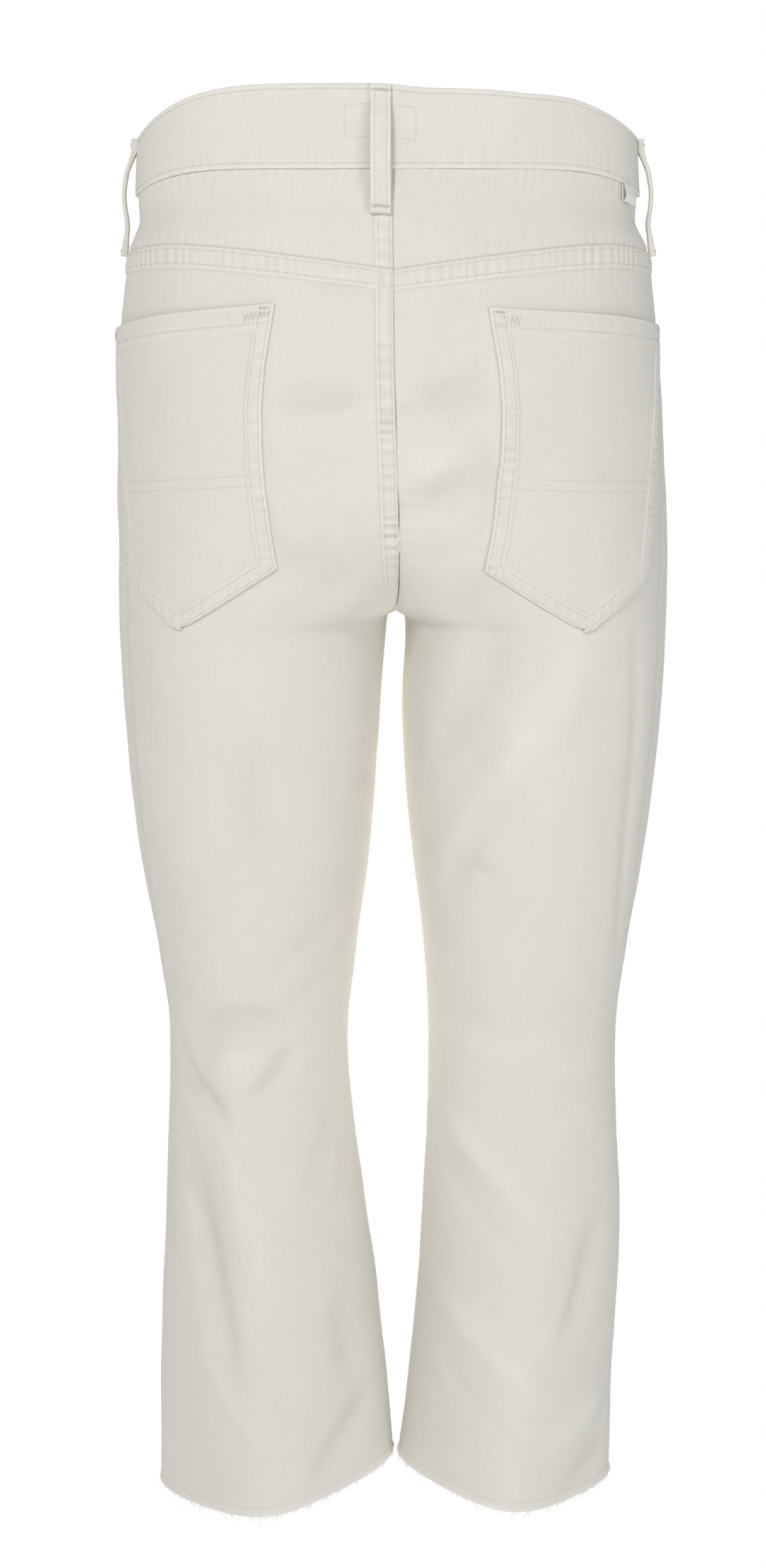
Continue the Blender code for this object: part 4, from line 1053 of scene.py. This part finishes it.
def pocket_points(name, side, part, share, lift=0.0):
    level, past, down, (to_inner, to_outer, to_foot) = pocket_place(name, part, share)
    measure = ROUNDS[side]
    edge = np.minimum(np.minimum(to_inner, to_outer), to_foot)
    along = np.where(to_foot < np.minimum(to_inner, to_outer), past, down)
    hem = fade(down, 13.5, 14.6)
    folded = 0.75 * fade(edge, 9.5, 10.8)
    out = 0.55 + WALL + mouth_gape(down, share) + np.maximum(folded, 0.7 * hem)
    out = out - 1.3 * fallen(edge, 1.4) - 0.5 * fallen(down, 1.2)
    out = out + 0.22 * (groove(edge, 2.0) + groove(edge, 8.4)) + 0.2 * groove(down, 9.6)
    pulled = fade(to_inner, 11.0, 26.0) * fade(np.abs(down - 92.0), 34.0, 60.0)
    wave = ripple(along, 6.4, 1.1 + side) * (1.0 + (0.5 - 0.4 * side) * pulled)
    wave = wave + 1.1 * ripple(along - 0.25 * to_inner, 9.0, 2.0) * pulled * (side > 0)
    out = out + wave * (0.30 * np.exp(-((edge - 5.2) / 3.6) ** 4)
                        + 0.12 * np.exp(-(edge / 15.0) ** 2))
    out = out + 0.14 * ripple(past, 7.0, 3.0) * np.exp(-((down - 7.0) / 7.0) ** 2)
    angle = measure.angle_at(level, measure.pocket_line(level) + past)
    return cloth(side, level, angle, out + lift), np.stack((side * past, level), -1)


def make_back_pocket(name, side, mat):
    near = np.array([0.0, 0.25, 0.6, 1.1, 1.6, 2.0, 2.4, 3.1, 4.2, 5.4, 6.6, 7.5, 8.0, 8.4, 8.9,
                     9.5, 10.1, 10.8, 12.0])
    wide, deep = 128.0, 178.0      # the pocket's size, near enough to space its grid by
    mm, share = stations(near, near, 52)
    at = (mm + share * wide) / wide
    mm, share = stations(near, near, 66)
    part = ((mm + share * deep) / deep)[:, None]
    at[np.argmin(np.abs(at - POCKET_POINT))] = POCKET_POINT
    share_grid = at + 0.0 * part
    part = part + 0.0 * at
    outer, uv = pocket_points(name, side, part, share_grid)
    level, past, down, (a, b, c) = pocket_place(name, part, share_grid)
    edge = np.minimum(np.minimum(a, b), c)
    measure = ROUNDS[side]
    angle = measure.angle_at(level, measure.pocket_line(level) + past)
    off = 0.2 + 0.3 * (1 - fade(edge, 2.0, 12.0)) + mouth_gape(down, share_grid)
    inner = cloth(side, level, angle, off)
    piece = add_cloth(f"back_pocket_{name}_cloth", outer, inner, uv, mat, -side,
                      folds=fold_height(side, level, angle))
    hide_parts(f"back_pocket_{name}")


# ---------------------------------------------------------------- topstitching
def sew_back(name, side, mat):
    """Yoke seam's two rows, and on the left half the middle seam's two rows."""
    work = Sewing(f"topstitching_back_{name}", 11 + int(side))
    top = yoke_level(0.0) - SEAM_GAP / 2
    share = np.linspace(0.0, 1.0, 200)
    inner = 12.0 if side > 0 else 1.0
    mm = inner - share * (inner + 1.5)
    for below in (SEW_FIRST, SEW_SECOND):
        work.row(lambda lift: back_points(side, np.array([top - below]), mm, share, lift)[0])
    if side > 0:
        row = np.linspace(top - 1.5, CROTCH_LEVEL + 24.0, 220)
        for run in (SEW_FIRST, SEW_SECOND):
            work.row(lambda lift: back_points(side, row, np.array([run]), np.zeros(1), lift)[0])
    work.finish(mat)


def sew_yoke(mat):
    """Middle seam's two rows, on the left yoke."""
    work = Sewing("topstitching_yoke_left", 15)
    part = np.linspace(0.01, 0.985, 60)
    for run in (SEW_FIRST, SEW_SECOND):
        work.row(lambda lift: yoke_points(1.0, part, np.array([run]), np.zeros(1), lift)[0])
    work.finish(mat)


def front_line(side, row, far, lift):
    """Points on the front at levels row, that far from the middle seam."""
    at = np.ones((len(row), 1))
    for _ in range(3):
        _, _, run, to_inner = front_place(side, row, at)
        at = 1 - far[:, None] / (run + to_inner)
    return front_points(side, row, at, lift)[0]


def sew_front(name, side, mat):
    """Scoop mouth's two rows and end bars; on the left half the fly's curve and middle seam."""
    work = Sewing(f"topstitching_front_{name}", 21 + int(side))
    top = WAIST_LEVEL - SEAM_GAP / 2
    at = SCOOP_WIDTH * np.cos(np.linspace(np.pi / 2 - 0.02, 0.02, 120))[::-1]
    for below in (2.2, 8.2):
        work.row(lambda lift: front_points(side, np.array([top - below]), at, lift)[0])
    work.bar(lambda a, b, lift: front_points(side, top - 9.5 + a, b[:, None], lift)[0][:, 0],
             0.0, 8.0, 0.006, 0.016)
    if side > 0:
        row = np.linspace(FLY_FOOT, CROTCH_LEVEL + 3.0, 90)
        for far in (SEW_FIRST, SEW_SECOND):
            work.row(lambda lift: front_line(side, row, far + 0 * row, lift))
        turn = np.linspace(0.0, np.pi / 2, 40)
        down = np.linspace(top - 1.0, FLY_FOOT + FLY_TURN, 60)
        for inset in (0.0, 6.0):
            far = np.concatenate((FLY_WIDE - inset + 0 * down,
                                  (FLY_WIDE - inset) * np.cos(turn)[1:-3] + 0.5))
            curve = FLY_FOOT + FLY_TURN - (FLY_TURN - inset) * np.sin(turn)[1:-3]
            row = np.concatenate((down, curve))
            work.row(lambda lift: front_line(side, row, far, lift))
        work.bar(lambda a, b, lift: front_line(side, FLY_FOOT + 2.0 + a, b, lift)[:, 0],
                 0.0, 9.0, 1.2, 3.4)
    work.finish(mat)


def sew_waistband(mat):
    """Rows near both edges, the rectangle that holds the inner label, and the buttonhole."""
    work = Sewing("topstitching_waistband", 31)
    ends = ring_run([-np.pi, np.pi]) + np.array([BAND_STEP - BAND_UNDER, BAND_OVER - 3])

    def place(run, down, lift):
        return band_points(ring_turn(run), down, lift)

    run = np.linspace(*ends, 700)
    tall = band_tall(ring_turn(run))
    work.row(lambda lift: place(run, 3.4 + 0 * run, lift))
    work.row(lambda lift: place(run, tall - 3.2, lift))
    work.row(lambda lift: place(np.full(30, ends[1]), np.linspace(3.4, tall[-1] - 3.2, 30), lift))
    left, right, upper, lower = LABEL_BOX
    across, down = np.linspace(left, right, 50), np.linspace(upper, lower, 26)
    box_run = np.concatenate((across, right + 0 * down, across[::-1], left + 0 * down))
    box_down = np.concatenate((upper + 0 * across, down, lower + 0 * across, down[::-1]))
    work.row(lambda lift: place(box_run, box_down, lift), 2.6)
    front, middle = ring_run(np.pi) - 1.0, band_tall(np.pi) / 2
    turn = np.linspace(0.0, 2 * np.pi, 76)[:-1]

    def slot(half, lift):
        return place(front + half[0] * np.cos(turn), middle + half[1] * np.sin(turn), lift)

    start = slot(HOLE_INNER, 0.1)
    work.lay(start, slot(HOLE_OUTER, 0.1), slot(HOLE_INNER, 1.1) - start, BAR_ARCH, 0.4)
    work.finish(mat)


def sew_belt_loops(mat):
    """Two rows along each belt loop and a zigzag bar across both of its ends."""
    for k, (name, place) in enumerate(LOOP_PLACES.items()):
        work = Sewing(f"topstitching_belt_loop_{name}", 41 + k)
        share = np.linspace(0.03, 0.97, 90)
        for across in (-1 + 2.6 / (LOOP_WIDTH / 2), 1 - 2.6 / (LOOP_WIDTH / 2)):
            work.row(lambda lift: loop_points(place, share, across + 0 * share, lift))
        for low, high in ((0.035, 0.060), (0.945, 0.970)):
            work.bar(lambda a, b, lift: loop_points(place, b, a, lift), -0.86, 0.86, low, high, 17)
        work.finish(mat)


def pocket_edge(name, inset):
    """Part and share along a line that far in from the pocket's sides and foot, mouth to mouth."""
    def side_line(flip):
        down = np.linspace(1.0, POCKET_CUT[-1][0] + POCKET_FOOT, 400)
        inner, outer = pocket_outline(down)
        share = inset / (outer - inner)
        share = 1 - share if flip else share
        part = down / pocket_depth(share)
        return part, share, pocket_place(name, part, share)[3][2] > inset

    left, right = side_line(False), side_line(True)
    part, share = left[0][left[2]], left[1][left[2]]
    part_r, share_r = right[0][right[2]][::-1], right[1][right[2]][::-1]
    foot = np.linspace(share[-1], share_r[0], 120)[1:-1]
    foot_part = 1 - inset * foot_stretch(foot) / pocket_depth(foot)
    return (np.concatenate((part, foot_part, part_r)), np.concatenate((share, foot, share_r)))


def sew_back_pocket(name, side, mat):
    """Two rows round the pocket, one below its mouth, two plain rows across, corner bars."""
    work = Sewing(f"topstitching_back_pocket_{name}", 51 + int(side))
    for inset in (2.0, 8.4):
        part, share = pocket_edge(name, inset)
        work.row(lambda lift: pocket_points(name, side, part, share, lift)[0])

    def place(share, down, lift):
        return pocket_points(name, side, down / pocket_depth(share), share, lift)[0]

    for down, start, end in ((9.6, 0.012, 0.988), (PLAIN_ROWS[0], 0.09, 0.91),
                             (PLAIN_ROWS[1], 0.09, 0.91)):
        share = np.linspace(start, end, 140)
        work.row(lambda lift: place(share, down, lift))
    work.bar(place, 0.018, 0.128, 3.4, 9.0, 6)
    work.bar(place, 0.022, 0.066, 1.4, 2.9, 5)
    work.bar(place, 0.94, 0.984, 1.6, 9.0, 3)
    work.finish(mat)


def fringe(name, side, half, mat):
    """Frayed ends below a raw hem: bent fibres of uneven length, from the middle of the wall."""
    work = Sewing(f"hem_fringe_{half}_{name}", 61 + int(side) + (half == "front"))
    level = np.array([HEM_LEVELS[side]])
    share = np.linspace(0.004, 0.996, 900)
    if half == "back":
        line = lambda lift: back_points(side, level, 0 * share, share, lift)[0][0]
    else:
        line = lambda lift: front_points(side, level, share, lift)[0][0]
    path, inside = line(0.0), line(-WALL)
    pick = np.sort(work.random.choice(len(path), FRINGE_COUNT, replace=False))
    blend = work.random.uniform(0.1, 0.9, (FRINGE_COUNT, 1))
    start = path[pick] * blend + inside[pick] * (1 - blend) + (0.0, 0.0, 0.5)
    along = unit(np.gradient(path, axis=0)[pick])
    out = path[pick] - inside[pick]
    way = work.random.normal(0.0, (0.55, 0.35), (FRINGE_COUNT, 2))
    length = work.random.gamma(2.2, 0.75, (FRINGE_COUNT, 1)) + 0.8
    end = start + length * (along * way[:, :1] + out * way[:, 1:] / WALL + (0.0, 0.0, -1.0))
    bow = out * work.random.uniform(-1.0, 1.0, (FRINGE_COUNT, 1)) + along * 0.3
    work.lay(start, end, bow, (0.0, 0.35, 0.0), 0.10, 3)
    work.finish(mat)


# ---------------------------------------------------------------- fly, zip, button and tab
def behind_fly(level, across, depth):
    """Point behind the front's middle seam: across towards the wearer's left, depth inwards."""
    seam = form(1.0, level, 2 * np.pi - inner_angle(1.0, level))
    bend = FLY_BEND * (across / FLY_SHIELD[0]) ** 2
    return np.stack(np.broadcast_arrays(seam[..., 0] + across, seam[..., 1] + depth + bend,
                                        seam[..., 2]), -1)


def strip_behind_fly(name, half, levels, depth, thick, wave, mat):
    """Cloth strip with rounded edges and faint waves, its two faces depth and depth + thick in."""
    across = half * np.sin(np.linspace(-np.pi / 2, np.pi / 2, 44))
    level = np.linspace(*levels, 130)[:, None]
    edge = np.minimum(half - np.abs(across), np.minimum(levels[0] - level, level - levels[1]))
    round_in = 0.4 * thick * fallen(edge, 0.9)
    soft = wave * ripple(level, 19.0, 1.0) * np.exp(-((half - np.abs(across)) / 9.0) ** 2)
    near = behind_fly(level, across + 0 * level, depth + soft + round_in)
    far = behind_fly(level, across + 0 * level, depth + soft + thick - round_in)
    uv = np.stack(np.broadcast_arrays(across, level), -1)
    return add_cloth(name, near, far, uv, mat, 1)


def make_fly(denim, tape, metal, thread):
    """Shield with an overlocked edge, zip tapes, meshed teeth, slider and hanging pull."""
    half, levels, thick, depth = FLY_SHIELD
    shield = strip_behind_fly("fly_shield_cloth", half, levels, depth, thick, 0.25, denim)
    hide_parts("fly_shield")
    work = Sewing("overlock_fly_shield", 71)
    for side in (-1, 1):
        work.bar(lambda a, b, lift: behind_fly(a, side * b, depth + thick + 0.1 + lift),
                 levels[0] - 1.5, levels[1] + 1.5, half - 3.2, half - 0.6, 110)
    work.finish(thread)
    half, levels, thick, depth = ZIP_TAPES
    tapes = strip_behind_fly("zip_tape_cloth", half, levels, depth, thick, 0.1, tape)
    chain = Sewing("zip_teeth", 72)
    for side, first in ((-1, 0.0), (1, 0.5)):
        level = np.arange(levels[0] - 18.0 - first * ZIP_PITCH, levels[1] + 8.0, -ZIP_PITCH)
        start = behind_fly(level, side * 2.6 + 0 * level, depth - 0.1)
        end = behind_fly(level, -side * 0.7 + 0 * level, depth - 0.1)
        chain.lay(start, end, np.tile((0.0, 1.0, 0.0), (len(level), 1)), (0.0, 0.0, 0.0), 0.62)
    teeth = chain.finish(metal)
    middle = behind_fly(np.array(levels[0] - 11.5), np.array(0.0), depth)
    frame_axes = np.eye(3)[[0, 2, 1]]
    slider = turned("zip_slider", middle - (0, 1.0, 0), frame_axes, SLIDER_PROFILE, metal,
                    lambda t: np.stack((4.2 * np.sign(np.cos(t)) * np.abs(np.cos(t)) ** 0.7
                                        * (0.82 + 0.18 * np.sin(t)),
                                        5.5 * np.sign(np.sin(t)) * np.abs(np.sin(t)) ** 0.8), -1))
    pull = turned("zip_pull", middle + (0.0, -1.75, -10.0), frame_axes, PULL_PROFILE, metal,
                  lambda t: np.stack((2.3 * np.sign(np.cos(t)) * np.abs(np.cos(t)) ** 0.6,
                                      8.0 * np.sign(np.sin(t)) * np.abs(np.sin(t)) ** 0.5), -1))
    for piece in (tapes, teeth, slider, pull):
        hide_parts("zip")


def turned(name, centre, axes, profile, mat, outline, sides=64):
    """Closed solid: the outline, scaled by each profile row, at that row's height.

    Point = centre + scale (outline_x axis_0 + outline_y axis_1) + height axis_2.
    """
    profile = np.array(profile)
    shape = outline(np.linspace(0.0, 2 * np.pi, sides, endpoint=False))
    flat = shape[:, :1] * axes[0] + shape[:, 1:] * axes[1]
    rings = centre + profile[1:-1, 0, None, None] * flat + profile[1:-1, 1, None, None] * axes[2]
    points = np.concatenate((rings.reshape(-1, 3), [centre + profile[0, 1] * axes[2],
                                                    centre + profile[-1, 1] * axes[2]]))
    count = len(rings)
    a = (np.arange(count - 1) * sides)[:, None] + np.arange(sides)
    b = (np.arange(count - 1) * sides)[:, None] + (np.arange(sides) + 1) % sides
    quads = np.stack((a, b, b + sides, a + sides), -1).reshape(-1, 4)
    k, after = np.arange(sides), (np.arange(sides) + 1) % sides
    last = (count - 1) * sides
    triangles = np.concatenate((np.stack((after, k, 0 * k + count * sides), 1),
                                np.stack((last + k, last + after, 0 * k + count * sides + 1), 1)))
    if np.dot(np.cross(axes[0], axes[1]), axes[2]) < 0:
        quads, triangles = quads[:, ::-1], triangles[:, ::-1]
    return add_piece(name, points, quads, mat, triangles=triangles, sharp=40.0)


def make_button(mat):
    """Turned waist button on its short shank, its face dished inside a rounded rim."""
    at = [band(np.array(np.pi), np.array(0.5), np.array(out)) for out in (1.55, 2.55)]
    axis = at[1] - at[0]
    across = np.cross(axis, (0.0, 0.0, 1.0))
    across /= np.linalg.norm(across)
    button = turned("waist_button", at[0], (across, np.cross(axis, across), axis),
                    BUTTON_PROFILE, mat, lambda t: np.stack((np.cos(t), np.sin(t)), -1), 96)
    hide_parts("button")


def make_side_tab(mat):
    """Folded ribbon in a gaping loop below the waistband seam.

    Its middle line is TAB_LINE (down, out) smoothed, carried 11 mm round the cloth, with the
    ribbon's two faces a quarter of a millimetre to both sides of it.
    """
    t = np.linspace(0.0, 1.0, len(TAB_LINE))
    fine = np.linspace(0.0, 1.0, 241)
    line = np.stack([np.interp(fine, t, v) for v in np.array(TAB_LINE, float).T], -1)
    line = np.stack([smoothed(v, 35) for v in line.T], -1)[::4]
    along = np.gradient(line, axis=0)
    beside = np.stack((along[:, 1], -along[:, 0]), -1)
    beside /= np.linalg.norm(along, axis=-1, keepdims=True)
    across = np.linspace(-0.5, 0.5, 15)
    angle = np.radians(90.0 - TAB_PLACE) + across * TAB_WIDTH / 155.0 * 1.6
    faces = []
    for half in (-0.26, 0.26):
        place = line + half * beside
        out = place[:, 1:] * (1 + 0.10 * across) + 0.0 * angle
        level = WAIST_LEVEL - 0.45 - place[:, :1] + 0.0 * angle
        faces.append(cloth(-1.0, level, angle + 0.0 * level, out))
    run = run_along(line)
    uv = np.stack(np.broadcast_arrays(across * TAB_WIDTH, run[:, None]), -1)
    piece = add_cloth("side_tab_ribbon", faces[1], faces[0], uv, mat, TAB_TURN)
    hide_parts("side_tab")


# ---------------------------------------------------------------- materials
class Tree:
    """Adds nodes to a tree: settings by name, inputs from values or from other nodes' sockets."""

    def __init__(self, tree):
        self.tree = tree

    def add(self, kind, settings=None, inputs=None, out=0):
        node = self.tree.nodes.new(kind)
        for key, value in (settings or {}).items():
            setattr(node, key, value)
        for key, value in (inputs or {}).items():
            if isinstance(value, bpy.types.NodeSocket):
                self.tree.links.new(value, node.inputs[key])
            else:
                node.inputs[key].default_value = value
        return node.outputs[out]

    def link(self, value, node, name):
        self.tree.links.new(value, node.inputs[name])

    def bump(self, shader, strength, distance, height):
        normal = self.add("ShaderNodeBump", inputs={
            "Strength": strength, "Distance": distance, "Height": height})
        self.link(normal, shader, "Normal")

    def math(self, how, *values):
        return self.add("ShaderNodeMath", {"operation": how}, dict(enumerate(values)))

    def noise(self, vector, scale, detail=2.0):
        return self.add("ShaderNodeTexNoise", inputs={
            "Vector": vector, "Scale": scale, "Detail": detail}, out="Fac")

    def stretch(self, vector, scale):
        return self.add("ShaderNodeMapping", inputs={"Vector": vector, "Scale": scale})

    def blend(self, how, factor, first, second):
        node = self.tree.nodes.new("ShaderNodeMix")
        node.data_type = "RGBA"
        node.blend_type = how
        for key, value in (("Factor", factor), ("A", first), ("B", second)):
            socket = next(s for s in node.inputs if s.enabled and s.name == key)
            if isinstance(value, bpy.types.NodeSocket):
                self.tree.links.new(value, socket)
            else:
                socket.default_value = value
        return next(s for s in node.outputs if s.enabled)


def new_material(name, colour, roughness, **values):
    """Material with plain values on its shader: the material, its tree and its shader."""
    mat = bpy.data.materials.new(name)
    mat.use_nodes = True
    shader = mat.node_tree.nodes["Principled BSDF"]
    shader.inputs["Base Color"].default_value = colour
    shader.inputs["Roughness"].default_value = roughness
    for key, value in values.items():
        shader.inputs[key.replace("_", " ")].default_value = value
    return mat, Tree(mat.node_tree), shader


def cloth_grain():
    """Group: twill ribs, slubs along and across, and slow unevenness, from a place in metres.

    Twill is a sine of (u cos t + v sin t) / pitch bent by fine noise; slubs are noise drawn out
    along one way of the cloth.  Height runs 0 to 1; Tone is about 1 and multiplies a colour.
    """
    group = bpy.data.node_groups.new("cloth_grain", "ShaderNodeTree")
    for name, kind, way in (("Place", "Vector", "INPUT"), ("Pitch", "Float", "INPUT"),
                            ("Slub", "Float", "INPUT"), ("Height", "Float", "OUTPUT"),
                            ("Tone", "Float", "OUTPUT")):
        group.interface.new_socket(name=name, in_out=way, socket_type="NodeSocket" + kind)
    tree = Tree(group)
    into = group.nodes.new("NodeGroupInput").outputs
    place = into["Place"]
    bent = tree.math("MULTIPLY", tree.noise(place, 900.0), 1.1)
    turned = tree.add("ShaderNodeVectorMath", {"operation": "DOT_PRODUCT"},
                      {0: place, 1: (0.45, 0.89, 0.0)}, out="Value")
    along = tree.math("ADD", tree.math("DIVIDE", turned, into["Pitch"]), bent)
    rib = tree.math("SINE", tree.math("MULTIPLY", along, 2 * np.pi))
    rib = tree.math("MULTIPLY_ADD", rib, 0.5, 0.5)
    down = tree.noise(tree.stretch(place, (1500.0, 60.0, 1.0)), 1.0)
    across = tree.noise(tree.stretch(place, (45.0, 1300.0, 1.0)), 1.0)
    slow = tree.noise(place, 22.0, 3.0)
    fine = tree.noise(place, 2600.0)
    slub = tree.math("ADD", tree.math("MULTIPLY", down, 0.62), tree.math("MULTIPLY", across, 0.38))
    height = tree.math("ADD", tree.math("MULTIPLY", slub, 0.45), tree.math("MULTIPLY", fine, 0.2))
    height = tree.math("ADD", tree.math("MULTIPLY", rib, 0.35), height)
    tone = tree.math("MULTIPLY_ADD", tree.math("SUBTRACT", slub, 0.5), into["Slub"], 1.0)
    tone = tree.math("ADD", tone, tree.math("MULTIPLY", tree.math("SUBTRACT", rib, 0.5), 0.02))
    tone = tree.math("ADD", tone, tree.math("MULTIPLY", tree.math("SUBTRACT", slow, 0.5), 0.05))
    out = group.nodes.new("NodeGroupOutput")
    group.links.new(height, out.inputs["Height"])
    group.links.new(tone, out.inputs["Tone"])
    return group


def woven_material(group, name, colour, painted_shade_colour, pitch, slub, bump):
    """Cloth: its colour, darker and warmer in hollows by the rise attribute as painted shade,
    lighter and warmer on the inner thighs as painted light, with woven grain.
    """
    mat, tree, shader = new_material(name, colour, 0.92, Specular_IOR_Level=0.18,
                                     Sheen_Weight=0.10, Sheen_Roughness=0.5)
    place = tree.add("ShaderNodeUVMap", {"uv_map": "cloth"})
    grain = tree.tree.nodes.new("ShaderNodeGroup")
    grain.node_tree = group
    tree.link(place, grain, "Place")
    grain.inputs["Pitch"].default_value = pitch
    grain.inputs["Slub"].default_value = slub
    # painted shade: the darker hollow colour in hollows and along seams
    rise = tree.add("ShaderNodeAttribute", {"attribute_name": "rise"}, out="Fac")
    shown = tree.blend("MIX", rise, painted_shade_colour, colour)
    # painted light: a lighter, warmer colour on the inner thighs
    inside = tree.add("ShaderNodeAttribute", {"attribute_name": "inside"}, out="Fac")
    shown = tree.blend("MIX", inside, shown, INNER_THIGH_PAINTED_LIGHT)
    toned = tree.blend("MULTIPLY", 1.0, shown, grain.outputs["Tone"])
    tree.link(toned, shader, "Base Color")
    rough = tree.math("MULTIPLY_ADD", grain.outputs["Height"], -0.12, 0.98)
    tree.link(rough, shader, "Roughness")
    tree.bump(shader, 0.6, bump, grain.outputs["Height"])
    return mat


def thread_material(colour):
    """Cotton topstitch thread: matt, a little uneven, with a fine twisted grain."""
    mat, tree, shader = new_material("cotton_thread", colour, 0.8, Specular_IOR_Level=0.25)
    place = tree.add("ShaderNodeTexCoord", out="Object")
    slow, fine = tree.noise(place, 90.0), tree.noise(place, 4200.0, 1.0)
    tone = tree.math("MULTIPLY_ADD", slow, 0.16, tree.math("MULTIPLY_ADD", fine, 0.22, 0.81))
    tree.link(tree.blend("MULTIPLY", 1.0, colour, tone), shader, "Base Color")
    tree.bump(shader, 0.5, 0.00006, fine)
    return mat


def metal_material():
    """Brushed steel: a fine drawn grain in roughness and height, a little darker in places."""
    mat, tree, shader = new_material("brushed_steel", (0.55, 0.54, 0.52, 1.0), 0.35, Metallic=1.0)
    place = tree.add("ShaderNodeTexCoord", out="Object")
    drawn = tree.noise(tree.stretch(place, (400.0, 9000.0, 9000.0)), 1.0, 4.0)
    cloud = tree.noise(place, 700.0, 3.0)
    rough = tree.math("MULTIPLY_ADD", drawn, 0.22, 0.24)
    tree.link(rough, shader, "Roughness")
    shown = tree.blend("MIX", cloud, (0.44, 0.43, 0.41, 1.0), (0.62, 0.61, 0.59, 1.0))
    tree.link(shown, shader, "Base Color")
    tree.bump(shader, 0.25, 0.00002, drawn)
    return mat


# ---------------------------------------------------------------- camera, floor and light
def set_camera():
    """Behind the garment, level with its waist and tilted down, with the photo's focal length."""
    data = bpy.data.cameras.new("camera")
    data.sensor_fit = "VERTICAL"
    data.sensor_height = SENSOR
    data.lens = FOCAL_PIXELS / FRAME_PIXELS * SENSOR
    camera = bpy.data.objects.new("camera", data)
    camera.location = CAMERA_PLACE
    camera.rotation_euler = (np.radians(90.0 - CAMERA_TILT), 0.0, np.pi)
    bpy.context.scene.collection.objects.link(camera)
    bpy.context.scene.camera = camera


def add_light(name, place, aim, size, power, colour):
    """Round area lamp at a place, facing the aim."""
    data = bpy.data.lights.new(name, "AREA")
    data.shape = "DISK"
    data.size = size
    data.energy = power
    data.color = colour
    lamp = bpy.data.objects.new(name, data)
    lamp.location = place
    lamp.rotation_euler = (Vector(aim) - Vector(place)).to_track_quat("-Z", "Y").to_euler()
    bpy.context.scene.collection.objects.link(lamp)


def set_stage():
    """Pale floor that looks as white as the sky, and soft lamps."""
    mesh = bpy.data.meshes.new("floor")
    mesh.from_pydata([(-40, -40, FLOOR), (40, -40, FLOOR), (40, 40, FLOOR), (-40, 40, FLOOR)], [],
                     [(0, 1, 2, 3)])
    floor = bpy.data.objects.new("floor", mesh)
    bpy.context.scene.collection.objects.link(floor)
    mat, tree, shader = new_material("pale_floor", (0.75, 0.75, 0.75, 1.0), 0.9)
    shader.inputs["Emission Color"].default_value = (1.0, 1.0, 1.0, 1.0)
    shader.inputs["Emission Strength"].default_value = 0.22
    glow = tree.add("ShaderNodeEmission", inputs={"Color": (1, 1, 1, 1), "Strength": 1.0})
    first = tree.add("ShaderNodeLightPath", out="Is Camera Ray")
    both = tree.add("ShaderNodeMixShader", inputs={0: first, 1: shader.outputs[0], 2: glow})
    mat.node_tree.links.new(both, mat.node_tree.nodes["Material Output"].inputs["Surface"])
    mesh.materials.append(mat)
    world = bpy.data.worlds.new("studio")
    world.use_nodes = True
    tree = Tree(world.node_tree)
    seen = tree.add("ShaderNodeBackground", inputs={"Color": (1, 1, 1, 1), "Strength": 1.0})
    lit = tree.add("ShaderNodeBackground", inputs={"Color": (0.98, 0.99, 1, 1), "Strength": SKY})
    path = tree.add("ShaderNodeLightPath", out="Is Camera Ray")
    both = tree.add("ShaderNodeMixShader", inputs={0: path, 1: lit, 2: seen})
    out = world.node_tree.nodes["World Output"]
    world.node_tree.links.new(both, out.inputs["Surface"])
    bpy.context.scene.world = world
    bpy.context.scene.view_settings.view_transform = "Standard"
    for name, place, size, power, colour in LAMPS:
        add_light(name, place, LAMP_AIM, size, power, colour)


def main():
    set_camera()
    set_stage()
    grain = cloth_grain()
    denim, ribbon, tape = (woven_material(grain, *values) for values in WOVEN)
    metal = metal_material()
    thread, fibre = thread_material(THREAD_COLOUR), thread_material(FIBRE_COLOUR)
    for name, side in SIDES:
        make_back(name, side, denim)
        make_yoke(name, side, denim)
        make_front(name, side, denim)
        make_facing(name, side, denim)
        make_back_pocket(name, side, denim)
        sew_back(name, side, thread)
        sew_front(name, side, thread)
        sew_back_pocket(name, side, thread)
        for half in ("back", "front"):
            fringe(name, side, half, fibre)
    make_waistband(denim)
    sew_yoke(thread)
    sew_waistband(thread)
    sew_belt_loops(thread)
    for name, place in LOOP_PLACES.items():
        make_belt_loop(name, place, denim)
    make_fly(denim, tape, metal, thread)
    make_button(metal)
    make_side_tab(ribbon)


main()
